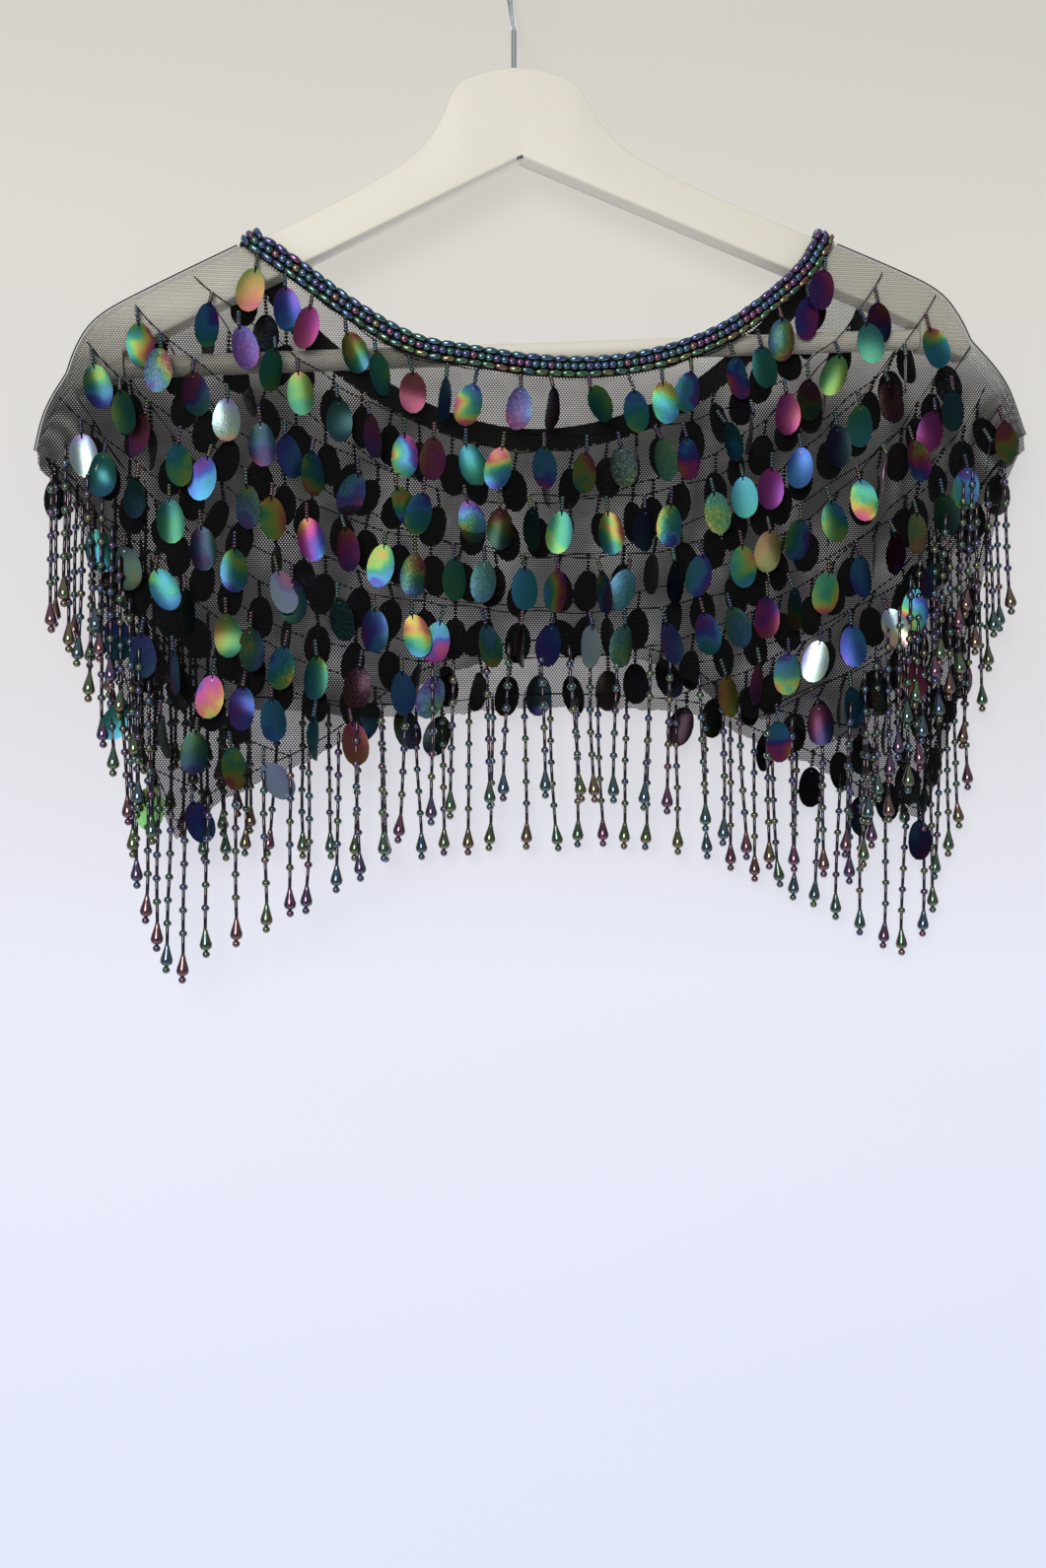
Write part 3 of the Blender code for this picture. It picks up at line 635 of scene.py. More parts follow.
@dataclass
class Half:
    """One half of the cape as a surface over its elevation, in front of or behind the hanger.

    Attributes:
        neck: Middle line of the neck tape.
        cut_edges: Left side, hem and right side.
        folds: Soft folds that grow towards the hem.
        creases: Short ridges and troughs.
    """
    side: Side
    neck: tuple[Point, ...]
    cut_edges: tuple[tuple[Point, ...], ...]
    folds: tuple[Fold, ...]
    creases: tuple[Crease, ...]
    edges: list[Array] = field(init=False)
    outline: Array = field(init=False)
    ridge_left: Array = field(init=False)
    ridge_right: Array = field(init=False)

    def __post_init__(self) -> None:
        """Works out the outline and the shoulder ridges."""
        self.edges = [smooth_line(edge, 0.002) for edge in self.cut_edges]
        self.outline = np.vstack((self.edges[0], self.edges[1][1:], self.edges[2][1:]))
        self.ridge_left, self.ridge_right = shoulder_ridges()

    def depth(self, x: Array, z: Array) -> Array:
        """Distance of the inner face from the middle plane.

        It grows by a smoothstep from the arms to the hem. Each fold adds a bell across its line that
        grows downwards, and each crease a bell across its line that fades at both its ends.

        Args:
            x: Places from left to right.
            z: Heights, of a shape that goes with x.

        Returns:
            The distances, always positive.
        """
        fall = (HANG_TOP - z) / (HANG_TOP - HANG_HEM)
        depth = ARM_DEPTH + (HEM_DEPTH - ARM_DEPTH) * smoothstep(fall)
        grown = np.clip(fall, 0.0, FOLD_GROWTH)
        for fold in self.folds:
            middle = fold.x_top + (fold.x_hem - fold.x_top) * grown
            depth = depth + fold.rise * grown * np.exp(-((x - middle) / fold.half_width) ** 2)
        for crease in self.creases:
            run = (crease.z_top - z) / (crease.z_top - crease.z_foot)
            middle = crease.x_top + (crease.x_foot - crease.x_top) * run
            fade = smoothstep(run / CREASE_FADE) * smoothstep((1 - run) / CREASE_FADE)
            depth = depth + crease.rise * fade * np.exp(-((x - middle) / crease.half_width) ** 2)
        return depth * self.tip_share(x, z)

    def tip_share(self, x: Array, z: Array) -> Array:
        """1 over the hanger, falling by a smoothstep towards the cape's two tips."""
        share = np.ones(np.broadcast(x, z).shape)
        for tip in (LEFT_DROP[0], RIGHT_DROP[0]):
            reach = np.hypot(x - tip.x, z - tip.z) / TIP_REACH
            share = share * (TIP_SHARE + (1 - TIP_SHARE) * smoothstep(reach))
        return share

    def point(self, x: Array, z: Array, out: Array | float = 0.0) -> Array:
        """World points on the surface.

        Args:
            x: Places from left to right.
            z: Heights, of a shape that goes with x.
            out: Distance from the inner face, along its normal by its slopes in x and z.

        Returns:
            The points, with their three coordinates last.
        """
        x, z = np.broadcast_arrays(x, z)
        step = 0.0005
        slope_x = (self.depth(x + step, z) - self.depth(x - step, z)) / (2 * step)
        slope_z = (self.depth(x, z + step) - self.depth(x, z - step)) / (2 * step)
        size = np.sqrt(1 + slope_x ** 2 + slope_z ** 2)
        return np.stack((x - out * slope_x / size, self.side.value * (self.depth(x, z) + out / size),
                         z - out * slope_z / size), axis=-1)

    def crossing(self, at: Array, inward: Array, out: float, turns: int) -> Array:
        """World points from the ridge down to the panel's face: a flat over the arm, then a quarter turn.

        Args:
            at: Ridge points, one row each.
            inward: Unit normals of the ridge towards the panel.
            out: Distance outside the inner face.
            turns: Number of steps in the quarter turn.

        Returns:
            An array of rows by ridge points by three.
        """
        share = self.tip_share(at[:, 0], at[:, 1])
        flat, corner = FOLD_FLAT * share, FOLD_ROUND * share
        angles = np.linspace(0, np.pi / 2, turns + 1)[:, None]
        y = np.vstack((np.full(len(at), SEAM / 2), flat + (corner + out) * np.sin(angles)))
        drop = np.vstack((-np.full(len(at), out), corner - (corner + out) * np.cos(angles)))
        return np.stack((at[:, 0] + inward[:, 0] * drop, self.side.value * y,
                         at[:, 1] + inward[:, 1] * drop), axis=-1)

    def neck_course(self, step: float) -> NeckCourse:
        """The neck's middle line, from the foot of one ridge to the other's.

        Near its ends the directions across it turn, in equal shares, to those along the ridges.

        Args:
            step: Distance between two of its points.

        Returns:
            The line, its directions and both ridges' crossings.
        """
        left, left_way = at_x(self.ridge_left, NECK_CROSS_LEFT)
        right, right_way = at_x(self.ridge_right, NECK_CROSS_RIGHT)
        ridges, ways = np.array((left, right)), np.array((left_way, right_way))
        inward = right_of(ways)
        feet = ridges + FOLD_ROUND * inward
        line = even_line(np.vstack((feet[0], smooth_line(self.neck, 0.004), feet[1])), step)
        away, run = right_of(tangents(line)), lengths(line)
        for way, from_end in ((-left_way, run), (right_way, run[-1] - run)):
            share = np.clip(from_end / NECK_TURN, 0, 1)[:, None]
            away = away * share + way * (1 - share)
        return NeckCourse(line, to_unit(away), ridges, ways, inward)

    def neck_path(self, offset: float, out: float, step: float = 0.002) -> Array:
        """World points along the neck from ridge to ridge.

        Args:
            offset: Distance from its middle line, away from the neck.
            out: Distance outside the panel's inner face.
            step: Distance between two points, before the offset.

        Returns:
            The points, one a row.
        """
        course = self.neck_course(step)
        at = course.ridges + np.array([[-offset], [offset]]) * course.ways
        start = self.crossing(at[:1], course.inward[:1], out, 5)[:, 0]
        end = self.crossing(at[1:], course.inward[1:], out, 5)[::-1, 0]
        inner = course.line[1:-1] + offset * course.away[1:-1]
        return np.vstack((start, self.point(inner[:, 0], inner[:, 1], out), end))

    def hem(self, x: Array) -> Array:
        """Height of the cut edge below x."""
        return np.interp(x, self.outline[:, 0], self.outline[:, 1])

    def ridge(self, x: Array) -> Array:
        """Height of the shoulder ridge above x, or a height above everything between the two ridges."""
        top = np.vstack((self.ridge_left, self.ridge_right))
        return np.interp(x, top[:, 0], top[:, 1])


# Shader helpers

def colour(red: int, green: int, blue: int) -> tuple[float, float, float, float]:
    """Scene-linear colour from 8-bit display values."""
    parts = np.array((red, green, blue)) / 255.0
    linear = np.where(parts <= 0.04045, parts / 12.92, ((parts + 0.055) / 1.055) ** 2.4)
    return (*map(float, linear), 1.0)


class Graph:
    """Short calls that add and join the nodes of one tree."""

    def __init__(self, tree: Tree) -> None:
        """Keeps the tree."""
        self.tree = tree

    def add(self, kind: str, **settings: object) -> Node:
        """A new node with its settings."""
        node = self.tree.nodes.new(kind)
        for name, value in settings.items():
            setattr(node, name, value)
        return node

    def feed(self, socket: Socket, value: object) -> None:
        """Links another socket to this one, or sets its plain value."""
        if isinstance(value, Socket):
            self.tree.links.new(value, socket)
        else:
            socket.default_value = value

    def math(self, operation: str, *values: object) -> Socket:
        """A Math node's result."""
        node = self.add("ShaderNodeMath", operation=operation)
        for socket, value in zip(node.inputs, values):
            self.feed(socket, value)
        return node.outputs[0]

    def fill(self, node: Node, **inputs: object) -> Node:
        """The same node, its inputs fed by name, underscores standing for spaces."""
        for name, value in inputs.items():
            self.feed(node.inputs[name.replace("_", " ")], value)
        return node

    def product(self, first: object, *others: object) -> Socket:
        """Several values multiplied."""
        for other in others:
            first = self.math("MULTIPLY", first, other)
        return first

    def held(self, value: object, low: float = 0.0, high: float = 1.0) -> Socket:
        """A value held between two bounds."""
        return self.math("MINIMUM", self.math("MAXIMUM", value, low), high)

    def vector_math(self, operation: str, *values: object) -> Node:
        """A Vector Math node, its inputs fed in order."""
        node = self.add("ShaderNodeVectorMath", operation=operation)
        for socket, value in zip(node.inputs, values):
            self.feed(socket, value)
        return node

    def vector(self, operation: str, *values: object) -> Socket:
        """A Vector Math node's vector."""
        return self.vector_math(operation, *values).outputs["Vector"]

    def measure(self, operation: str, *values: object) -> Socket:
        """A Vector Math node's number, such as a length."""
        return self.vector_math(operation, *values).outputs["Value"]

    def mix(self, share: object, first: object, second: object) -> Socket:
        """Two colours mixed."""
        node = self.add("ShaderNodeMix", data_type="RGBA")
        self.feed(node.inputs[0], share)
        self.feed(node.inputs[6], first)
        self.feed(node.inputs[7], second)
        return node.outputs[2]

    def noise(self, vector: object, scale: float, detail: float = 2.0, rough: float = 0.5) -> Socket:
        """Noise between 0 and 1."""
        node = self.add("ShaderNodeTexNoise")
        return self.fill(node, Vector=vector, Scale=scale, Detail=detail, Roughness=rough).outputs["Fac"]

    def attribute(self, name: str) -> Socket:
        """A vector stored at the mesh's points."""
        return self.add("ShaderNodeAttribute", attribute_name=name).outputs["Vector"]

    def number(self, name: str) -> Socket:
        """A number stored at the mesh's points."""
        return self.add("ShaderNodeAttribute", attribute_name=name).outputs["Fac"]

    def place(self) -> Socket:
        """Object coordinates."""
        return self.add("ShaderNodeTexCoord").outputs["Object"]

    def parts(self, vector: object) -> Sequence[Socket]:
        """X, Y and Z of a vector."""
        node = self.add("ShaderNodeSeparateXYZ")
        self.feed(node.inputs[0], vector)
        return node.outputs

    def ramp(self, value: object, stops: Stops, ease: str = "LINEAR") -> Socket:
        """A colour ramp's colour."""
        node = self.add("ShaderNodeValToRGB")
        self.feed(node.inputs[0], value)
        ramp = node.color_ramp
        ramp.interpolation = ease
        while len(ramp.elements) < len(stops):
            ramp.elements.new(1.0)
        for element, (position, shade) in zip(ramp.elements, stops):
            element.position = position
            element.color = shade
        return node.outputs[0]

    def bump(self, height: object, strength: float, distance: float) -> Socket:
        """A normal from a height."""
        node = self.add("ShaderNodeBump")
        return self.fill(node, Height=height, Strength=strength, Distance=distance).outputs[0]

    def group(self, tree: Tree, **inputs: object) -> Node:
        """A group node with its inputs fed by name."""
        return self.fill(self.add("ShaderNodeGroup", node_tree=tree), **inputs)


def new_group(name: str, inputs: dict[str, str], outputs: dict[str, str]) -> tuple[Tree, Graph, Node, Node]:
    """An empty shader group.

    Args:
        name: The group's name.
        inputs: Socket kinds by name, such as Float, Vector or Color.
        outputs: The same for its outputs.

    Returns:
        The tree, its graph, its input node and its output node.
    """
    tree = bpy.data.node_groups.new(name, "ShaderNodeTree")
    for label, kind in inputs.items():
        tree.interface.new_socket(label, in_out="INPUT", socket_type="NodeSocket" + kind)
    for label, kind in outputs.items():
        tree.interface.new_socket(label, in_out="OUTPUT", socket_type="NodeSocket" + kind)
    graph = Graph(tree)
    return tree, graph, graph.add("NodeGroupInput"), graph.add("NodeGroupOutput")


FILM_COLOURS = (
    (0.00, colour(28, 128, 132)), (0.11, colour(52, 150, 106)), (0.20, colour(118, 168, 74)),
    (0.29, colour(172, 148, 66)), (0.37, colour(164, 98, 68)), (0.45, colour(158, 66, 92)),
    (0.54, colour(158, 44, 128)), (0.64, colour(92, 46, 140)), (0.74, colour(44, 70, 166)),
    (0.85, colour(56, 134, 184)), (1.00, colour(28, 128, 132)),
)


def film_group() -> Tree:
    """Colours of a thin film: a tone that wraps round, its depth and how grey it is."""
    tree, graph, given, result = new_group(
        "film_colour", {"Tone": "Float", "Value": "Float", "Grey": "Float"}, {"Color": "Color"})
    hue = graph.ramp(graph.math("FRACT", given.outputs["Tone"]), FILM_COLOURS)
    pale = graph.mix(given.outputs["Grey"], hue, colour(146, 134, 142))
    shade = graph.vector("SCALE", pale)
    graph.feed(shade.node.inputs["Scale"], given.outputs["Value"])
    graph.feed(result.inputs["Color"], shade)
    return tree


def honeycomb_group() -> Tree:
    """Threads of a hexagonal net, in cells one unit across.

    A point's distance in its hexagon is the larger of |x| and |x| / 2 + |y| sqrt(3) / 2, measured from
    the nearer centre of two interleaved rectangular lattices. A thread runs where it nears one half.
    Over its edge the mask climbs from a faint haze in the gap to a thread that isn't quite solid.
    """
    climb, level, haze, solid = 4.5, 0.60, 0.06, 0.90
    tree, graph, given, result = new_group(
        "honeycomb", {"Vector": "Vector", "Thread": "Float"}, {"Mask": "Float", "Height": "Float"})
    half = (0.5, math.sqrt(3) / 2, 0.5)
    less = tuple(-value for value in half)
    first = graph.vector("WRAP", given.outputs["Vector"], half, less)
    moved = graph.vector("ADD", given.outputs["Vector"], half)
    second = graph.vector("WRAP", moved, half, less)
    nearer = graph.math("LESS_THAN", graph.measure("LENGTH", first), graph.measure("LENGTH", second))
    node = graph.add("ShaderNodeMix", data_type="VECTOR")
    graph.feed(node.inputs[0], nearer)
    graph.feed(node.inputs[4], second)
    graph.feed(node.inputs[5], first)
    side = graph.vector("ABSOLUTE", node.outputs[1])
    slant = graph.measure("DOT_PRODUCT", side, (0.5, math.sqrt(3) / 2, 0.0))
    reach = graph.math("MAXIMUM", slant, graph.parts(side)[0])
    inner = graph.math("SUBTRACT", 0.5, graph.product(given.outputs["Thread"], 0.5))
    over = graph.math("SUBTRACT", reach, inner)
    soft = graph.math("MULTIPLY_ADD", over, climb, level)
    graph.fill(result, Mask=graph.held(soft, haze, solid), Height=graph.product(over, 10.0))
    return tree


def grain_group() -> Tree:
    """Soft unevenness of a surface: a broad mottle and a fine grain, both about one half."""
    tree, graph, given, result = new_group(
        "soft_grain", {"Vector": "Vector"}, {"Mottle": "Float", "Grain": "Float"})
    place = given.outputs["Vector"]
    graph.fill(result, Mottle=graph.noise(place, 14.0, 3.0), Grain=graph.noise(place, 900.0, 3.0, 0.6))
    return tree


@dataclass
class Effects:
    """The shader groups that several finishes share."""
    film: Tree = field(default_factory=film_group)
    honeycomb: Tree = field(default_factory=honeycomb_group)
    grain: Tree = field(default_factory=grain_group)


def new_material(name: str) -> tuple[Material, Graph, Node]:
    """An empty node material, its graph and its Principled shader."""
    material = bpy.data.materials.new(name)
    material.use_nodes = True
    return material, Graph(material.node_tree), material.node_tree.nodes["Principled BSDF"]


def spread(graph: Graph, value: object, low: float, high: float) -> Socket:
    """Low + (high - low) times a value between 0 and 1."""
    return graph.math("MULTIPLY_ADD", value, high - low, low)


# Finishes

@dataclass(frozen=True)
class NetFinish:
    """Sheer net of dark threads that leave hexagonal gaps, stretched thin over the arms.

    Attributes:
        cell: Distance across a gap from thread to thread.
        cell_height: The same upwards, where the pulled net is narrower.
        thread: Share of a cell that the threads take where the net hangs free.
        stretched: The same over the arms.
        stretch_foot: Height below which the net hangs free.
        stretch_fade: Height over which it comes to that.
        middle: How free it hangs at the middle, and how that falls per metre beside it.
        folds_and_shade: Share added beside the middle, where the net hangs in folds, and painted shade for
            the shaded wall seen through it there.
        gather_rise: How that share grows per metre away from the middle.
    """
    cell: float = 0.00138
    cell_height: float = 0.00114
    thread: float = 0.34
    stretched: float = 0.015
    stretch_foot: float = -0.232
    stretch_fade: float = 0.045
    middle: tuple[float, float] = (1.6, 14.0)
    folds_and_shade: float = 0.12
    gather_rise: float = 8.0

    def make(self, effects: Effects) -> Material:
        """The net's material, its pattern on the flat cut."""
        material, graph, shader = new_material("net_black")
        cut = graph.add("ShaderNodeUVMap", uv_map="cut").outputs[0]
        cells = graph.vector("MULTIPLY", cut, (CUT_UNIT / self.cell, CUT_UNIT / self.cell_height, 1.0))
        x, _, z = graph.parts(graph.place())
        aside = graph.math("ABSOLUTE", x)
        above = graph.math("SUBTRACT", z, self.stretch_foot + self.stretch_fade)
        fall = graph.math("DIVIDE", above, -self.stretch_fade)
        middle = graph.math("SUBTRACT", self.middle[0], graph.product(aside, self.middle[1]))
        free = graph.held(graph.math("MAXIMUM", fall, middle))
        # Denser threads beside the middle: partly the net's folds, partly painted shade for the wall that is
        # shaded there.
        beside = graph.product(graph.held(graph.product(aside, self.gather_rise)), graph.held(fall))
        share = spread(graph, free, self.stretched, self.thread)
        thread = graph.math("MULTIPLY_ADD", beside, self.folds_and_shade, share)
        uneven = graph.product(thread, spread(graph, graph.noise(cells, 0.12, 2.0), 0.75, 1.25))
        mesh = graph.group(effects.honeycomb, Vector=cells, Thread=uneven)
        tint = graph.mix(graph.noise(cells, 0.6), colour(3, 3, 4), colour(12, 11, 13))
        graph.fill(shader, Base_Color=tint, Alpha=mesh.outputs["Mask"], Roughness=0.70,
                   Normal=graph.bump(mesh.outputs["Height"], 0.4, 0.0002), Specular_IOR_Level=0.12)
        return material


@dataclass(frozen=True)
class TapeFinish:
    """Black woven tape with a fine twill, its ribs a distance of rib apart, with lighter specks that are
    partly texture and partly painted glints.
    """
    rib: float = 0.0006

    def make(self, effects: Effects) -> Material:
        """The tape's material, its twill along the flat strip."""
        material, graph, shader = new_material("tape_black")
        cut = graph.add("ShaderNodeUVMap", uv_map="cut").outputs[0]
        x, y, _ = graph.parts(cut)
        slant = graph.math("MULTIPLY_ADD", y, 0.8, x)
        rib = graph.math("SINE", graph.product(slant, 2 * math.pi / self.rib))
        grain = graph.group(effects.grain, Vector=graph.place())
        # Lighter specks: partly the weave's texture, partly painted glints of the beads beside the tape.
        weave_and_glint = graph.noise(cut, 900.0, 2.0)
        knots = graph.ramp(weave_and_glint, ((0.50, colour(5, 5, 6)), (0.72, colour(72, 70, 74))))
        graph.fill(shader, Base_Color=graph.mix(grain.outputs["Grain"], colour(4, 4, 5), knots),
                   Roughness=spread(graph, grain.outputs["Grain"], 0.55, 0.85),
                   Normal=graph.bump(rib, 0.6, 0.0002))
        return material


@dataclass(frozen=True)
class ThreadFinish:
    """Black sewing thread."""

    def make(self, effects: Effects) -> Material:
        """The thread's material."""
        material, graph, shader = new_material("thread_black")
        grain = graph.group(effects.grain, Vector=graph.place())
        graph.fill(shader, Base_Color=graph.mix(grain.outputs["Grain"], colour(3, 3, 4), colour(11, 10, 12)),
                   Normal=graph.bump(grain.outputs["Grain"], 0.5, 0.0001), Roughness=0.7,
                   Specular_IOR_Level=0.12)
        return material


@dataclass(frozen=True)
class PailletteFinish:
    """Satin iridescent film on thin plastic ovals, each with its own bands of colour, their inner faces
    darkened as painted shade.

    Attributes:
        inner_shade: Brightness of the inner face against the outer one, a painted shade.
        ripple: How far the noise carries the bands, in slopes of the tone.
        fleck: How strongly a crinkled film is speckled.
        glint: Brightness above which an oval is one of the painted glints, whitish as if it mirrored the
            window; these also get a lower roughness.
        hole: Middle of the hole for the stalk, as a share of the oval's half height.
        hole_scale: Distances from it in hole widths, across and up.
    """
    inner_shade: float = 0.12
    ripple: float = 3.4
    fleck: float = 1.2
    glint: float = 1.2
    hole: float = 0.78
    hole_scale: Triple = (11.0, 17.5, 0.0)

    def make(self, effects: Effects) -> Material:
        """The paillettes' material.

        The tone is the oval's own tone, plus a slope along its own direction, plus a slow wave of
        noise. The attribute film holds tone, direction and slope, and look holds value, crinkle and grey.
        """
        material, graph, shader = new_material("paillette_film")
        tone, way, slope = graph.parts(graph.attribute("film"))
        value, crinkle, grey = graph.parts(graph.attribute("look"))
        local = graph.attribute("local")
        u, v, inner = graph.parts(local)
        place = graph.place()
        run = graph.math("ADD", graph.product(u, graph.math("COSINE", way)),
                         graph.product(v, graph.math("SINE", way)))
        wave = graph.math("SUBTRACT", graph.noise(place, 95.0, 1.5, 0.4), 0.5)
        tone = graph.math("ADD", tone, graph.product(run, slope))
        tone = graph.math("ADD", tone, graph.product(slope, self.ripple, wave))
        fleck = graph.math("SUBTRACT", graph.noise(place, 1500.0, 3.0, 0.65), 0.5)
        speckled = graph.math("MULTIPLY_ADD", graph.product(fleck, crinkle), self.fleck, value)
        # Painted shade: the inner face, marked by the third part of local, is darkened towards inner_shade.
        shown = graph.product(speckled, spread(graph, inner, 1.0, self.inner_shade))
        film = graph.group(effects.film, Tone=tone, Value=shown, Grey=grey)
        from_hole = graph.vector("SUBTRACT", local, (0, self.hole, 0))
        from_hole = graph.measure("LENGTH", graph.vector("MULTIPLY", from_hole, self.hole_scale))
        ring = graph.math("LESS_THAN", from_hole, 0.75)
        grain = graph.group(effects.grain, Vector=place)
        glossy = graph.math("GREATER_THAN", value, self.glint)
        rough = graph.math("MULTIPLY_ADD", grain.outputs["Grain"], 0.05, spread(graph, glossy, 0.30, 0.26))
        crumple = graph.product(graph.noise(place, 420.0, 3.0, 0.6), crinkle)
        graph.fill(shader, Base_Color=graph.mix(ring, film.outputs["Color"], colour(120, 118, 122)),
                   Roughness=graph.math("MULTIPLY_ADD", crinkle, 0.10, rough),
                   Normal=graph.bump(crumple, 0.32, 0.0008), Metallic=0.82, Coat_Weight=0.06,
                   Coat_Roughness=0.20)
        return material


@dataclass(frozen=True)
class BeadFinish:
    """Lustred glass beads, dark and iridescent.

    Attributes:
        value: Brightness of its colours.
        grey: How grey they are.
        rim_shift: How far the tone moves towards a bead's rim.
        drift: Scale of the noise that carries the tone across a bead.
    """
    name: str
    value: float
    grey: float
    roughness: float
    rim_shift: float = 0.40
    coat: float = 1.0
    drift: float = 240.0

    def make(self, effects: Effects) -> Material:
        """The beads' material: each bead's own tone, which drifts across it and shifts towards its rim."""
        material, graph, shader = new_material(self.name)
        place = graph.place()
        drift = graph.math("SUBTRACT", graph.noise(place, self.drift, 1.0), 0.5)
        facing = graph.add("ShaderNodeLayerWeight").outputs["Facing"]
        tone = graph.math("MULTIPLY_ADD", facing, self.rim_shift, graph.number("tone"))
        tone = graph.math("MULTIPLY_ADD", drift, 0.35, tone)
        value = spread(graph, graph.noise(place, 500.0), 0.75 * self.value, 1.25 * self.value)
        film = graph.group(effects.film, Tone=tone, Value=value, Grey=self.grey)
        grain = graph.group(effects.grain, Vector=place).outputs["Grain"]
        graph.fill(shader, Base_Color=film.outputs["Color"], Metallic=0.85, Coat_Weight=self.coat,
                   Roughness=spread(graph, grain, 0.7 * self.roughness, 1.3 * self.roughness),
                   Coat_Roughness=0.07, Coat_IOR=1.7)
        return material


@dataclass(frozen=True)
class PaintFinish:
    """Satin cream paint on wood: a faint grain, painted shade on the lower back edge and the dark end of the
    joint.

    Attributes:
        joint: X, Y and Z of the joint's dark end, in the hanger's own frame.
        joint_half: How far the dark reaches from there along each of them.
        painted_shade_from: Depth behind which the lower edge gets painted shade.
        facing_down: How far down a face of that edge looks, at least.
    """
    joint: Triple = (-0.0008, -0.0045, -0.1083)
    joint_half: Triple = (0.0016, 0.0016, 0.0014)
    painted_shade_from: float = 0.0048
    facing_down: float = -0.15

    def make(self, effects: Effects) -> Material:
        """The painted wood's material."""
        material, graph, shader = new_material("wood_paint")
        place = graph.place()
        grain = graph.group(effects.grain, Vector=place)
        streak = graph.noise(graph.vector("MULTIPLY", place, (1.0, 4.0, 4.0)), 60.0, 3.0)
        tint = graph.mix(grain.outputs["Mottle"], colour(225, 221, 206), colour(229, 225, 211))
        upright = graph.fill(graph.add("ShaderNodeMapping", vector_type="POINT"),
                             Vector=place, Rotation=(0.0, TILT, 0.0))
        places = graph.parts(upright.outputs[0])
        near = [graph.math("COMPARE", *values) for values in zip(places, self.joint, self.joint_half)]
        facing = graph.parts(graph.add("ShaderNodeNewGeometry").outputs["Normal"])[2]
        # Painted shade: faces of the lower back edge that look down are darkened to a grey-brown.
        behind = graph.product(graph.math("GREATER_THAN", places[1], self.painted_shade_from),
                               graph.math("LESS_THAN", facing, self.facing_down))
        tint = graph.mix(behind, tint, colour(128, 124, 114))
        graph.fill(shader, Base_Color=graph.mix(graph.product(*near), tint, colour(70, 62, 54)),
                   Roughness=spread(graph, grain.outputs["Grain"], 0.32, 0.46),
                   Normal=graph.bump(streak, 0.04, 0.0002), Coat_Weight=0.15)
        return material


@dataclass(frozen=True)
class WireFinish:
    """Bright plated steel wire."""

    def make(self, effects: Effects) -> Material:
        """The wire's material."""
        material, graph, shader = new_material("wire_chrome")
        grain = graph.group(effects.grain, Vector=graph.place())
        tint = graph.mix(grain.outputs["Mottle"], colour(214, 220, 224), colour(236, 240, 243))
        graph.fill(shader, Base_Color=tint, Roughness=spread(graph, grain.outputs["Grain"], 0.12, 0.22),
                   Metallic=1.0)
        return material


@dataclass
class Finishes:
    """Every material of the part."""
    effects: Effects = field(default_factory=Effects)

    def __post_init__(self) -> None:
        """Makes them once."""
        effects = self.effects
        self.net = NetFinish().make(effects)
        self.tape = TapeFinish().make(effects)
        self.thread = ThreadFinish().make(effects)
        self.paillette = PailletteFinish().make(effects)
        self.neck_bead = BeadFinish("neck_bead_lustre", 0.55, 0.16, 0.10).make(effects)
        self.seed_bead = BeadFinish("seed_bead_lustre", 0.34, 0.10, 0.10).make(effects)
        self.bugle = BeadFinish("bugle_lustre", 0.13, 0.60, 0.16, rim_shift=0.15, coat=0.45).make(effects)
        self.drop = BeadFinish("drop_lustre", 0.40, 0.26, 0.09).make(effects)
        self.paint = PaintFinish().make(effects)
        self.wire = WireFinish().make(effects)


# Sub-assemblies of the cape

